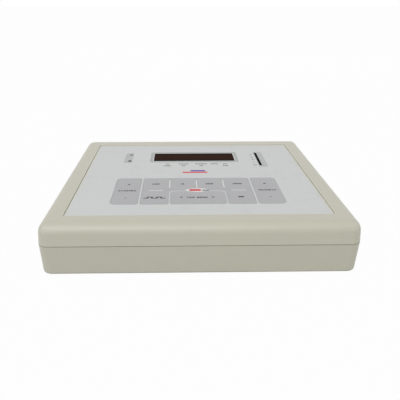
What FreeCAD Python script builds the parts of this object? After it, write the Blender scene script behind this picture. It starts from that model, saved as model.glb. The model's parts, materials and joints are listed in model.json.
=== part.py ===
"""Desktop audiometer: a two-shell plastic case with a recessed keypad panel, a display and rear sockets.

Millimetres.  X runs to the right, Y to the rear and Z up.  The origin lies under the middle of the case,
in the plane that the rubber feet rest on.  Every size that can be set by itself is a cell of the sheet
"Sizes"; everything else is worked out from those cells by expressions.
"""
import FreeCAD, Part

import math
import os

import Sketcher

DRIVING_SIZES = [
    # alias, value, what it is
    ("case_width", 292.4, "outside width at the seam"),
    ("case_depth", 252.4, "outside depth at the seam"),
    ("lower_height", 29.5, "lower shell, bottom to seam"),
    ("upper_height", 20.5, "upper shell, seam to rim"),
    ("foot_drop", 2.5, "how far the feet stand below the case"),
    ("wall", 3.0, "wall of both shells"),
    ("upper_side_wall", 4.4, "side walls of the upper shell, at the seam"),
    ("corner_radius", 10.5, "upright corners of the case, seen from above"),
    ("crown_radius", 10.0, "rounding of the top outer edge"),
    ("sole_radius", 1.5, "rounding of the bottom outer edge"),
    ("upper_draft", 6.3, "draft of the upper shell, degrees"),
    ("lower_draft", 1.5, "draft of the lower shell, degrees"),
    ("seam_gap", 0.4, "shadow gap between the shells"),
    ("tongue_height", 2.0, "locating tongue on the lower shell"),
    ("tongue_width", 1.3, "thickness of the locating tongue"),
    ("tongue_clearance", 0.2, "clearance round the locating tongue"),
    ("rim_width", 21.2, "width of the rim round the panel recess"),
    ("channel_inset", 9.2, "hollow under the rim, from the outside of the case"),
    ("recess_depth", 1.3, "rim down to the face of the panel"),
    ("recess_corner", 2.0, "corners of the panel recess"),
    ("recess_edge_radius", 0.3, "rounding of the edge round the panel recess"),
    ("tray_thickness", 2.5, "floor of the recess"),
    ("panel_thickness", 1.2, "front panel"),
    ("panel_clearance", 0.3, "front panel to the walls of the recess"),
    ("panel_shift", 0.0, "middle of the controls, from the middle of the case"),
    ("display_inset", 48.75, "middle of the display, from the rear wall of the recess"),
    ("key_line_drop", 103.2, "line between the two rows of keys, ahead of the middle of the display"),
    ("key_pitch", 28.65, "width of one key cell"),
    ("key_row", 33.6, "depth of one row of key cells"),
    ("key_separator", 1.6, "between the plates of neighbouring keys"),
    ("key_gap", 0.25, "key plate to the edge of its opening"),
    ("key_corner", 3.0, "corners of a key plate"),
    ("key_thickness", 0.6, "key plate"),
    ("key_travel_room", 0.4, "how far a key goes down"),
    ("side_key_width", 27.15, "width of the two outer key fields"),
    ("side_key_space", 2.0, "outer key field to the middle block"),
    ("side_label", 15.8, "fixed strip between the two keys of an outer field"),
    ("step_label", 24.7, "fixed strip between the two frequency keys"),
    ("step_border", 1.2, "border line round the frequency keys"),
    ("plunger_radius", 1.75, "switch plunger"),
    ("plunger_clearance", 0.1, "plunger in its switch"),
    ("plunger_hole_clearance", 0.5, "plunger in the tray"),
    ("plunger_seat", 1.0, "how deep a plunger sits in its switch"),
    ("switch_side", 6.0, "tactile switch, square"),
    ("switch_height", 3.5, "tactile switch without its plunger"),
    ("front_board_drop", 6.0, "underside of the tray to the key board"),
    ("display_width", 99.6, "display window"),
    ("display_depth", 28.5, "display window"),
    ("window_ledge", 1.0, "edge of the tray that carries a window"),
    ("window_clearance", 0.15, "window to the edge of its opening"),
    ("side_display_offset", 79.2, "indicator and level meter, from the middle of the controls"),
    ("meter_width", 3.2, "level meter window"),
    ("meter_length", 45.8, "level meter window"),
    ("meter_drop", 7.7, "middle of the level meter, ahead of the middle of the display"),
    ("meter_ledge", 0.3, "edge of the tray beside the meter window"),
    ("meter_segment_gap", 0.3, "between the lights of the level meter"),
    ("indicator_rise", 8.9, "indicator light, behind the middle of the display"),
    ("indicator_radius", 1.75, "indicator light"),
    ("microphone_drop", 13.2, "talk-over microphone, ahead of the middle of the display"),
    ("microphone_radius", 3.0, "microphone capsule"),
    ("microphone_hole_radius", 1.9, "sound hole"),
    ("lens_clearance", 0.2, "indicator light in its holes"),
    ("under_tray_clearance", 0.3, "parts on the boards to the underside of the tray"),
    ("lcd_view_inset_x", 0.9, "opening in the metal frame, inside the sides of the display window"),
    ("lcd_view_inset_y", 2.4, "opening in the metal frame, inside the front and rear of the window"),
    ("lcd_frame_border", 4.5, "metal frame round its opening"),
    ("lcd_frame_height", 7.5, "metal frame of the display module"),
    ("lcd_frame_wall", 1.0, "metal frame of the display module"),
    ("lcd_hole_offset_x", 3.5, "fixing holes of the display module, beside its metal frame"),
    ("lcd_hole_offset_y", 2.0, "fixing holes of the display module, ahead of and behind its metal frame"),
    ("lcd_board_edge", 3.5, "fixing holes of the display module to the edges of its board"),
    ("lcd_glass_thickness", 2.8, "liquid crystal cell"),
    ("lcd_clearance", 0.2, "cell and light block in the metal frame"),
    ("board_thickness", 1.6, "every circuit board"),
    ("key_board_side", 7.0, "key board beyond the outer key fields"),
    ("key_board_margin", 4.0, "key board beyond the two rows of keys, front and rear"),
    ("key_board_arm_gap", 4.0, "display module to the two arms of the key board"),
    ("key_board_arm_reach", 19.5, "rear end of the two arms, behind the middle of the display"),
    ("key_post_offset", 1.5, "posts of the key board, beside the middle block of keys"),
    ("key_post_inset", 4.0, "posts of the key board, inside the edges of the two rows"),
    ("arm_post_inset", 5.0, "posts of the arms, from the inner edges of the arms"),
    ("arm_post_rise", 12.5, "posts of the arms, behind the middle of the display"),
    ("post_radius", 3.0, "posts under the tray"),
    ("screw_radius", 1.25, "board screws"),
    ("screw_length", 6.0, "board screws, under the head"),
    ("screw_head_radius", 2.5, "board screws"),
    ("screw_head_height", 1.8, "board screws"),
    ("screw_clearance", 0.3, "board screw in its board"),
    ("pilot_clearance", 0.05, "screws in their pilot holes"),
    ("boss_inset", 13.7, "case screws, from the outside of the case"),
    ("boss_radius", 4.5, "screw columns of the lower shell"),
    ("upper_boss_radius", 4.0, "screw columns of the upper shell"),
    ("case_screw_radius", 1.45, "case screws"),
    ("case_screw_length", 28.0, "case screws, under the head"),
    ("case_screw_clearance", 0.25, "case screw in the lower shell"),
    ("case_head_radius", 2.8, "head of the case screws"),
    ("case_head_height", 2.4, "head of the case screws"),
    ("case_head_clearance", 0.4, "head of the case screws in its counterbore"),
    ("counterbore_depth", 10.0, "counterbore of the case screws"),
    ("foot_inset", 31.2, "feet, from the outside of the case"),
    ("foot_radius", 6.0, "rubber feet"),
    ("foot_recess", 0.6, "recess of the rubber feet"),
    ("foot_clearance", 0.2, "foot in its recess"),
    ("foot_bevel", 0.5, "rounding of the foot"),
    ("main_board_width", 210.0, "main board"),
    ("main_board_depth", 112.0, "main board"),
    ("main_board_clearance", 1.5, "main board to the wall of the socket bay"),
    ("standoff_height", 5.0, "columns under the main board"),
    ("standoff_radius", 3.5, "columns under the main board"),
    ("standoff_side", 7.0, "columns under the main board, from its sides"),
    ("standoff_front", 6.0, "front columns, from the front edge of the main board"),
    ("standoff_rear", 26.0, "rear columns, from the rear edge of the main board"),
    ("bay_width", 224.0, "recess of the rear sockets"),
    ("bay_height", 22.0, "recess of the rear sockets"),
    ("bay_depth", 5.7, "recess of the rear sockets"),
    ("bay_rise", 5.0, "recess of the rear sockets, above the bottom of the case"),
    ("bay_corner", 2.0, "corners of the recess"),
    ("socket_rise", 6.5, "socket axes above the main board"),
    ("jack_first_x", -15.0, "first phone socket"),
    ("jack_pitch", 30.0, "between phone sockets"),
    ("jack_width", 14.0, "phone socket body"),
    ("jack_height", 13.0, "phone socket body"),
    ("jack_depth", 24.0, "phone socket body"),
    ("jack_bush_radius", 4.5, "threaded bush of a phone socket"),
    ("jack_bush_out", 3.6, "threaded bush beyond the wall"),
    ("jack_bush_clearance", 0.2, "threaded bush in the wall"),
    ("jack_bore_radius", 3.25, "bore for the plug"),
    ("jack_back_wall", 3.0, "phone socket behind its bore"),
    ("nut_flats", 12.0, "nut of a phone socket, across its flats"),
    ("nut_thickness", 2.0, "nut of a phone socket"),
    ("nut_clearance", 0.05, "nut on its bush"),
    ("inlet_x", -58.0, "power inlet"),
    ("inlet_width", 9.0, "power inlet body"),
    ("inlet_height", 11.0, "power inlet body"),
    ("inlet_depth", 14.0, "power inlet body"),
    ("inlet_snout_radius", 4.2, "round mouth of the power inlet"),
    ("inlet_snout_clearance", 0.3, "round mouth in the wall"),
    ("inlet_bore_radius", 3.2, "bore of the power inlet"),
    ("inlet_bore_depth", 10.0, "bore of the power inlet"),
    ("inlet_pin_radius", 1.0, "centre pin of the power inlet"),
    ("rocker_x", -90.0, "power switch"),
    ("rocker_flange_width", 21.0, "frame of the power switch"),
    ("rocker_flange_height", 15.0, "frame of the power switch"),
    ("rocker_flange_thickness", 1.5, "frame of the power switch"),
    ("rocker_body_width", 19.0, "body of the power switch"),
    ("rocker_body_height", 12.0, "body of the power switch"),
    ("rocker_body_depth", 14.0, "body of the power switch"),
    ("rocker_cutout_clearance", 0.2, "body of the power switch in the wall"),
    ("rocker_board_gap", 0.5, "body of the power switch above the main board"),
    ("rocker_length", 13.2, "rocker, tip to tip"),
    ("rocker_height", 8.6, "rocker, upper to lower face"),
    ("rocker_gap", 0.3, "rocker to the sides of its frame"),
    ("rocker_end_gap", 0.9, "rocker tips to the ends of its frame"),
    ("rocker_well", 8.5, "depth of the rocker's well"),
    ("rocker_pivot_depth", 3.0, "pivot below the face of the frame"),
    ("rocker_waist", 2.4, "middle of the rocker above its pivot"),
    ("rocker_shoulder", 0.3, "lower edges of the rocker's tips above its pivot"),
    ("rocker_slope", 10.0, "slope of each half of the rocker, degrees"),
    ("rocker_foot_half", 3.5, "half of the rocker's foot"),
    ("rocker_foot_drop", 3.0, "rocker's foot below its pivot"),
    ("rocker_pin_radius", 1.2, "pivot pins of the rocker"),
    ("rocker_pin_reach", 0.7, "pivot pins in the sides of the frame"),
    ("rocker_pin_clearance", 0.06, "pivot pins in their holes"),
    ("terminal_spacing", 10.0, "terminals of the power switch"),
    ("terminal_width", 4.8, "terminals of the power switch"),
    ("terminal_thickness", 0.8, "terminals of the power switch"),
    ("terminal_length", 6.0, "terminals of the power switch"),
    ("lead_radius", 0.9, "leads of the power switch"),
    ("lead_run", 1.5, "straight start of a lead"),
    ("lead_bend", 4.0, "bend of a lead"),
    ("ribbon_x", -40.0, "ribbon cable"),
    ("ribbon_width", 25.0, "ribbon cable"),
    ("ribbon_thickness", 1.0, "ribbon cable"),
    ("ribbon_plug_inset", 8.0, "plugs of the ribbon cable, from the edges of their boards"),
    ("ribbon_plug_width", 30.0, "plugs of the ribbon cable"),
    ("ribbon_plug_depth", 6.0, "plugs of the ribbon cable"),
    ("ribbon_plug_height", 9.0, "plugs of the ribbon cable"),
    ("processor_side", 20.0, "processor"),
    ("processor_height", 2.4, "processor"),
    ("audio_chip_length", 20.0, "audio chips"),
    ("audio_chip_width", 7.0, "audio chips"),
    ("audio_chip_height", 4.0, "audio chips"),
    ("audio_chip_pitch", 26.0, "audio chips"),
    ("audio_chip_inset", 28.0, "audio chips, from the front edge of the main board"),
    ("relay_length", 15.0, "output relays"),
    ("relay_width", 8.0, "output relays"),
    ("relay_height", 10.0, "output relays"),
    ("relay_gap", 7.5, "output relays to the phone sockets"),
    ("capacitor_radius", 4.0, "smoothing capacitors"),
    ("capacitor_height", 12.0, "smoothing capacitors"),
    ("capacitor_pitch", 11.0, "smoothing capacitors"),
    ("capacitor_inset", 42.0, "smoothing capacitors, from the rear edge of the main board"),
    ("regulator_width", 10.0, "voltage regulator"),
    ("regulator_thickness", 4.5, "voltage regulator"),
    ("regulator_height", 9.0, "voltage regulator"),
    ("regulator_gap", 6.75, "voltage regulator to the power inlet"),
    ("regulator_tab", 1.3, "cooling tab of the voltage regulator"),
    ("regulator_tab_height", 15.0, "cooling tab of the voltage regulator"),
    ("indicator_flange", 1.0, "flange of the indicator light"),
    ("indicator_flange_lip", 0.3, "flange of the indicator light beyond its hole"),
    ("indicator_stand", 3.0, "flange above the key board"),
    ("indicator_proud", 0.4, "indicator light above the panel"),
    ("indicator_leg", 0.5, "legs of the indicator light"),
]

DOC = FreeCAD.newDocument("audiometer")
SHEET = DOC.addObject("Spreadsheet::Sheet", "Sizes")
NODES = {}
EXPECTED_CHANGES = []

CORNERS = [(sx, sy) for sx in (-1, 1) for sy in (-1, 1)]
OVERRUN = 1.0  # how far a cut runs past the faces that it goes through
ROOT = 0.5     # how far a post or boss is rooted in the wall that carries it

# Levels, from the resting plane up.
CASE_BOTTOM = "Sizes.foot_drop"
FLOOR_TOP = "(Sizes.foot_drop + Sizes.wall)"
SEAM = "(Sizes.foot_drop + Sizes.lower_height)"
LOWER_TOP = f"({SEAM} - Sizes.seam_gap / 2)"
UPPER_BOTTOM = f"({SEAM} + Sizes.seam_gap / 2)"
RIM_TOP = f"({SEAM} + Sizes.upper_height)"
PANEL_TOP = f"({RIM_TOP} - Sizes.recess_depth)"
TRAY_TOP = f"({PANEL_TOP} - Sizes.panel_thickness)"
TRAY_BOTTOM = f"({TRAY_TOP} - Sizes.tray_thickness)"
CHANNEL_ROOF = f"({RIM_TOP} - Sizes.wall)"
UNDER_TRAY = f"({TRAY_BOTTOM} - Sizes.under_tray_clearance)"
KEY_BOARD_TOP = f"({TRAY_BOTTOM} - Sizes.front_board_drop)"
KEY_BOARD_BOTTOM = f"({KEY_BOARD_TOP} - Sizes.board_thickness)"
LCD_BOARD_TOP = f"({UNDER_TRAY} - Sizes.lcd_frame_height)"
LCD_BOARD_BOTTOM = f"({LCD_BOARD_TOP} - Sizes.board_thickness)"
MAIN_BOARD_BOTTOM = f"({FLOOR_TOP} + Sizes.standoff_height)"
MAIN_BOARD_TOP = f"({MAIN_BOARD_BOTTOM} + Sizes.board_thickness)"
SOCKET_Z = f"({MAIN_BOARD_TOP} + Sizes.socket_rise)"
ROCKER_Z = f"({MAIN_BOARD_TOP} + Sizes.rocker_board_gap + Sizes.rocker_body_height / 2)"

# Faces of the socket bay at the rear, and the main board behind it.
BAY_FACE = "(Sizes.case_depth / 2 - Sizes.bay_depth)"
BAY_INNER = f"({BAY_FACE} - Sizes.wall)"
MAIN_BOARD_REAR = f"({BAY_INNER} - Sizes.main_board_clearance)"
MAIN_BOARD_Y = f"({MAIN_BOARD_REAR} - Sizes.main_board_depth / 2)"
MAIN_BOARD_FRONT = f"({MAIN_BOARD_REAR} - Sizes.main_board_depth)"

# Places on the front.
RECESS_WIDTH = "(Sizes.case_width - 2 * Sizes.rim_width)"
RECESS_LENGTH = "(Sizes.case_depth - 2 * Sizes.rim_width)"
MIDDLE = "Sizes.panel_shift"
DISPLAY_Y = f"({RECESS_LENGTH} / 2 - Sizes.display_inset)"
KEY_LINE_Y = f"({DISPLAY_Y} - Sizes.key_line_drop)"
METER_X = "(Sizes.panel_shift + Sizes.side_display_offset)"
METER_Y = f"({DISPLAY_Y} - Sizes.meter_drop)"
INDICATOR_X = "(Sizes.panel_shift - Sizes.side_display_offset)"
INDICATOR_Y = f"({DISPLAY_Y} + Sizes.indicator_rise)"
MICROPHONE_Y = f"({DISPLAY_Y} - Sizes.microphone_drop)"

# Display module, built outwards from its view.
LCD_VIEW_WIDTH = "(Sizes.display_width - 2 * Sizes.lcd_view_inset_x)"
LCD_VIEW_DEPTH = "(Sizes.display_depth - 2 * Sizes.lcd_view_inset_y)"
LCD_FRAME_WIDTH = f"({LCD_VIEW_WIDTH} + 2 * Sizes.lcd_frame_border)"
LCD_FRAME_DEPTH = f"({LCD_VIEW_DEPTH} + 2 * Sizes.lcd_frame_border)"
LCD_HOLE_X = f"({LCD_FRAME_WIDTH} / 2 + Sizes.lcd_hole_offset_x)"
LCD_HOLE_Y = f"({LCD_FRAME_DEPTH} / 2 + Sizes.lcd_hole_offset_y)"

# Edges of the key board; the arms lie beside the display module.
KEY_BLOCK_HALF = "(2 * Sizes.key_pitch)"
KEY_FIELDS_HALF = f"({KEY_BLOCK_HALF} + Sizes.side_key_space + Sizes.side_key_width)"
KEY_BOARD_HALF = f"({KEY_FIELDS_HALF} + Sizes.key_board_side)"
KEY_BOARD_FRONT = f"({KEY_LINE_Y} - Sizes.key_row - Sizes.key_board_margin)"
KEY_BOARD_REAR = f"({KEY_LINE_Y} + Sizes.key_row + Sizes.key_board_margin)"
ARM_INSIDE = f"({LCD_HOLE_X} + Sizes.lcd_board_edge + Sizes.key_board_arm_gap)"

METER_LIGHTS = 10
AUDIO_CHIPS = 4
OUTPUT_RELAYS = 3
CAPACITORS = 4


# ---------------------------------------------------------------- the sheet and the document

def fill_sheet():
    """Write every driving size into its own aliased cell."""
    for row, (alias, number, note) in enumerate(DRIVING_SIZES, start=1):
        SHEET.set(f"A{row}", alias)
        SHEET.set(f"B{row}", str(number))
        SHEET.set(f"C{row}", note)
        SHEET.setAlias(f"B{row}", alias)
    DOC.recompute()


def value(expression):
    """Return the number that an expression on the sheet stands for now."""
    result = SHEET.evalExpression(str(expression))
    return float(getattr(result, "Value", result))


def bind(feature, **expressions):
    """Bind properties of a feature to expressions on the sheet."""
    for name, expression in expressions.items():
        feature.setExpression(name, str(expression))


def locate(feature, x, y, z, prefix="Placement"):
    """Bind the position of a feature or of its attachment."""
    for axis, expression in zip("xyz", (x, y, z)):
        feature.setExpression(f"{prefix}.Base.{axis}", str(expression))


def keep(label, feature):
    """Name a finished piece; its label is the name of its file."""
    feature.Label = label
    NODES[label] = feature
    return feature


# ---------------------------------------------------------------- bodies, sketches and features

def new_body(label):
    """Start the PartDesign body of one piece."""
    return keep(label, DOC.addObject("PartDesign::Body", label))


def attach(feature, body, x, y, z, plane="XY_Plane"):
    """Attach a sketch or a primitive to an origin plane of its own body."""
    origin_plane = next(item for item in body.Origin.OriginFeatures if item.Role == plane)
    feature.AttachmentSupport = [(origin_plane, "")]
    feature.MapMode = "FlatFace"
    locate(feature, x, y, z, prefix="AttachmentOffset")


def new_sketch(body, name, x="0", y="0", z="0", plane="XY_Plane"):
    """Add an empty sketch, its own origin at x, y, z of the plane."""
    sketch = body.newObject("Sketcher::SketchObject", f"{body.Label}_{name}")
    attach(sketch, body, x, y, z, plane)
    return sketch


def constrain(sketch, expression, kind, *where):
    """Add a dimension that follows an expression."""
    index = sketch.addConstraint(Sketcher.Constraint(kind, *where, value(expression)))
    sketch.setExpression(f"Constraints[{index}]", str(expression))


def draw_rounded_rectangle(sketch, width, depth, corner):
    """Draw a rectangle with round corners about the sketch's origin."""
    half_x, half_y, radius = value(width) / 2, value(depth) / 2, value(corner)
    inner_x, inner_y = half_x - radius, half_y - radius
    first = sketch.GeometryCount
    centres = [(inner_x, -inner_y), (inner_x, inner_y), (-inner_x, inner_y), (-inner_x, -inner_y)]
    lines = [((-inner_x, -half_y), (inner_x, -half_y)), ((half_x, -inner_y), (half_x, inner_y)),
             ((inner_x, half_y), (-inner_x, half_y)), ((-half_x, inner_y), (-half_x, -inner_y))]
    for turn, (line, centre) in enumerate(zip(lines, centres)):
        start = (turn - 1) * math.pi / 2
        circle = Part.Circle(FreeCAD.Vector(*centre, 0), FreeCAD.Vector(0, 0, 1), radius)
        sketch.addGeometry(Part.LineSegment(*(FreeCAD.Vector(*point, 0) for point in line)), False)
        sketch.addGeometry(Part.ArcOfCircle(circle, start, start + math.pi / 2), False)
    bottom, right, top, left = (first + 2 * turn for turn in range(4))
    arcs = [line + 1 for line in (bottom, right, top, left)]
    for index in range(8):
        sketch.addConstraint(Sketcher.Constraint("Tangent", first + index, 2, first + (index + 1) % 8, 1))
    for line in (bottom, top):
        sketch.addConstraint(Sketcher.Constraint("Horizontal", line))
    for line in (right, left):
        sketch.addConstraint(Sketcher.Constraint("Vertical", line))
    for arc in arcs[1:]:
        sketch.addConstraint(Sketcher.Constraint("Equal", arcs[0], arc))
    sketch.addConstraint(Sketcher.Constraint("Symmetric", arcs[0], 3, arcs[2], 3, -1, 1))
    constrain(sketch, corner, "Radius", arcs[0])
    constrain(sketch, width, "DistanceX", left, 1, right, 1)
    constrain(sketch, depth, "DistanceY", bottom, 1, top, 1)


def draw_polygon(sketch, points):
    """Draw a closed outline whose corners are given as pairs of expressions."""
    numbers = [FreeCAD.Vector(value(x), value(y), 0) for x, y in points]
    count = len(points)
    for index in range(count):
        sketch.addGeometry(Part.LineSegment(numbers[index], numbers[(index + 1) % count]), False)
    for index in range(count):
        sketch.addConstraint(Sketcher.Constraint("Coincident", index, 2, (index + 1) % count, 1))
    for index, (x, y) in enumerate(points):
        constrain(sketch, x, "DistanceX", -1, 1, index, 1)
        constrain(sketch, y, "DistanceY", -1, 1, index, 1)


def circles_sketch(body, name, radius, places, z, plane="XY_Plane"):
    """Add a sketch of equal circles at the given places."""
    sketch = new_sketch(body, name, z=z, plane=plane)
    for index, (x, y) in enumerate(places):
        centre = FreeCAD.Vector(value(x), value(y), 0)
        sketch.addGeometry(Part.Circle(centre, FreeCAD.Vector(0, 0, 1), value(radius)), False)
        constrain(sketch, x, "DistanceX", -1, 1, index, 3)
        constrain(sketch, y, "DistanceY", -1, 1, index, 3)
        if index:
            sketch.addConstraint(Sketcher.Constraint("Equal", 0, index))
    constrain(sketch, radius, "Radius", 0)
    return sketch


def rounded_sketch(body, name, width, depth, corner, x="0", y="0", z="0", plane="XY_Plane"):
    """Add a sketch that holds one rectangle with round corners."""
    sketch = new_sketch(body, name, x, y, z, plane)
    draw_rounded_rectangle(sketch, width, depth, corner)
    return sketch


def ring_sketch(body, name, outer_inset, inner_inset, z):
    """Add a sketch of the band between two outlines that lie inside the outline of the case."""
    sketch = new_sketch(body, name, z=z)
    for inset in (outer_inset, inner_inset):
        draw_rounded_rectangle(sketch, *case_outline(inset))
    return sketch


def case_outline(inset):
    """Return width, depth and corner radius of the case's outline at an inset from the outside."""
    corner = f"max(Sizes.corner_radius - {inset}; Sizes.recess_corner)"
    return f"(Sizes.case_width - 2 * {inset})", f"(Sizes.case_depth - 2 * {inset})", corner


def pad(body, sketch, length, taper="0"):
    """Pad a sketch along its normal."""
    feature = body.newObject("PartDesign::Pad", f"{sketch.Name}_pad")
    feature.Profile = sketch
    bind(feature, Length=length, TaperAngle=taper)
    return expect(feature, grows=True)


def pocket(body, sketch, length, along_normal=False):
    """Pocket a sketch against its normal, or along it."""
    feature = body.newObject("PartDesign::Pocket", f"{sketch.Name}_pocket")
    feature.Profile = sketch
    feature.Reversed = along_normal
    bind(feature, Length=length)
    return expect(feature, grows=False)


def box(body, name, length, width, height, x, y, z, add):
    """Add or cut a box whose footprint is centred on x, y and whose bottom lies at z."""
    kind = "PartDesign::AdditiveBox" if add else "PartDesign::SubtractiveBox"
    feature = body.newObject(kind, f"{body.Label}_{name}")
    attach(feature, body, f"{x} - ({length}) / 2", f"{y} - ({width}) / 2", z)
    bind(feature, Length=length, Width=width, Height=height)
    return expect(feature, grows=add)


def cylinder(body, name, radius, height, x, y, z, add, plane="XY_Plane"):
    """Add or cut a cylinder that stands on x, y, z of a plane."""
    kind = "PartDesign::AdditiveCylinder" if add else "PartDesign::SubtractiveCylinder"
    feature = body.newObject(kind, f"{body.Label}_{name}")
    attach(feature, body, x, y, z, plane)
    bind(feature, Radius=radius, Height=height)
    return expect(feature, grows=add)


def drill(body, name, radius, places, start, depth, plane="XY_Plane"):
    """Drill equal holes at the given places, along the normal of the plane."""
    return pocket(body, circles_sketch(body, name, radius, places, start, plane), depth, along_normal=True)


def raise_posts(body, name, radius, places, start, height):
    """Raise equal round posts at the given places."""
    return pad(body, circles_sketch(body, name, radius, places, start), height)


def rear_cylinder(body, name, radius, front, rear, x, z, add):
    """Add or cut a cylinder along Y, from the front face to the rear one."""
    return cylinder(body, name, radius, f"{rear} - {front}", x, z, f"-({rear})", add, plane="XZ_Plane")


def expect(feature, grows):
    """Note that a feature has to add material, or has to cut some away."""
    EXPECTED_CHANGES.append((feature, grows))
    return feature


def round_edges(body, base, name, radius, is_wanted):
    """Round the edges of the body's last feature that is_wanted picks."""
    DOC.recompute()
    names = [f"Edge{index}" for index, edge in enumerate(base.Shape.Edges, start=1) if is_wanted(edge)]
    feature = body.newObject("PartDesign::Fillet", f"{body.Label}_{name}")
    feature.Base = (base, names)
    bind(feature, Radius=radius)
    return expect(feature, grows=False)


def at_level(level, width="Sizes.case_width", depth="Sizes.case_depth"):
    """Return a test for edges that lie flat at a level, inside a rectangle about the middle of the case."""
    height, half_x, half_y = value(level), value(width) / 2, value(depth) / 2
    near = 1e-4

    def is_flat_there(edge):
        bounds = edge.BoundBox
        level_there = abs(bounds.ZMin - height) < near and abs(bounds.ZMax - height) < near
        return level_there and bounds.XMax < half_x + near and bounds.YMax < half_y + near

    return is_flat_there


# ---------------------------------------------------------------- plain pieces

def block(name, length, width, height, x, y, z):
    """Make a box whose footprint is centred on x, y and whose bottom lies at z."""
    feature = DOC.addObject("Part::Box", name)
    bind(feature, Length=length, Width=width, Height=height)
    locate(feature, f"{x} - ({length}) / 2", f"{y} - ({width}) / 2", z)
    return feature


def rod(name, radius, height, x, y, z):
    """Make an upright cylinder that stands on x, y, z."""
    feature = DOC.addObject("Part::Cylinder", name)
    bind(feature, Radius=radius, Height=height)
    locate(feature, x, y, z)
    return feature


def fuse(name, pieces):
    """Join overlapping pieces into one solid."""
    feature = DOC.addObject("Part::MultiFuse", name)
    feature.Shapes = pieces
    return feature


def cut(name, base, tool):
    """Take one piece out of another."""
    feature = DOC.addObject("Part::Cut", name)
    feature.Base = base
    feature.Tool = tool
    return feature


def group(label, pieces):
    """Keep equal pieces together in one node, each a solid of its own."""
    feature = DOC.addObject("Part::Compound", label)
    feature.Links = pieces
    return keep(label, feature)


# ---------------------------------------------------------------- where the keys are

def key_cells():
    """Return name -> (x, y, plate width, plate depth) for every key, as expressions."""
    plate = "(Sizes.key_pitch - Sizes.key_separator)"
    upper_y = f"({KEY_LINE_Y} + Sizes.key_row / 2)"
    lower_y = f"({KEY_LINE_Y} - Sizes.key_row / 2)"
    row_depth = "(Sizes.key_row - Sizes.key_separator)"
    cells = {}
    for column in range(4):
        x = f"({MIDDLE} + {column - 1.5} * Sizes.key_pitch)"
        cells[f"function_{column + 1}"] = (x, upper_y, plate, row_depth)
    for name, side in (("interrupt", -1), ("tone", 1)):
        x = f"({MIDDLE} + {side * 1.5} * Sizes.key_pitch)"
        cells[name] = (x, lower_y, plate, row_depth)
    step_cell = "((2 * Sizes.key_pitch - Sizes.step_label) / 2)"
    step_depth = "(Sizes.key_row - Sizes.key_separator - 2 * Sizes.step_border)"
    for name, side in (("frequency_down", -1), ("frequency_up", 1)):
        x = f"({MIDDLE} + {side} * (Sizes.step_label + {step_cell}) / 2)"
        cells[name] = (x, lower_y, f"({step_cell} - Sizes.key_separator)", step_depth)
    side_plate = "(Sizes.side_key_width - Sizes.key_separator)"
    side_cell = "((2 * Sizes.key_row - Sizes.side_label) / 2)"
    side_depth = f"({side_cell} - Sizes.key_separator)"
    side_x = f"({KEY_FIELDS_HALF} - Sizes.side_key_width / 2)"
    for field, side in (("level", -1), ("masking", 1)):
        for way, up in (("down", -1), ("up", 1)):
            y = f"({KEY_LINE_Y} + {up} * (Sizes.side_label + {side_cell}) / 2)"
            cells[f"{field}_{way}"] = (f"({MIDDLE} + {side} * {side_x})", y, side_plate, side_depth)
    return cells


def key_board_posts():
    """Return the places of the posts that carry the key board."""
    places = [(f"({MIDDLE} + {sx} * ({KEY_BLOCK_HALF} + Sizes.key_post_offset))",
               f"({KEY_LINE_Y} + {sy} * (Sizes.key_row - Sizes.key_post_inset))") for sx, sy in CORNERS]
    places += [(f"({MIDDLE} + {sx} * ({ARM_INSIDE} + Sizes.arm_post_inset))",
                f"({DISPLAY_Y} + Sizes.arm_post_rise)") for sx in (-1, 1)]
    return places


def lcd_posts():
    """Return the places of the posts that carry the display module."""
    return [(f"({MIDDLE} + {sx} * {LCD_HOLE_X})", f"({DISPLAY_Y} + {sy} * {LCD_HOLE_Y})")
            for sx, sy in CORNERS]


def main_board_posts():
    """Return the places of the columns that carry the main board."""
    rows = [f"({MAIN_BOARD_FRONT} + Sizes.standoff_front)", f"({MAIN_BOARD_REAR} - Sizes.standoff_rear)"]
    return [(f"({sx} * (Sizes.main_board_width / 2 - Sizes.standoff_side))", y)
            for y in rows for sx in (-1, 1)]


def boss_places():
    """Return the places of the four case screws."""
    return [(f"({sx} * (Sizes.case_width / 2 - Sizes.boss_inset))",
             f"({sy} * (Sizes.case_depth / 2 - Sizes.boss_inset))") for sx, sy in CORNERS]


def foot_places():
    """Return the places of the four feet."""
    return [(f"({sx} * (Sizes.case_width / 2 - Sizes.foot_inset))",
             f"({sy} * (Sizes.case_depth / 2 - Sizes.foot_inset))") for sx, sy in CORNERS]


JACKS = ["left_phone", "right_phone", "bone_phone", "response"]


def jack_x(index):
    """Return the X of one phone socket."""
    return f"(Sizes.jack_first_x + {index} * Sizes.jack_pitch)"


# ---------------------------------------------------------------- the two shells

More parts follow.
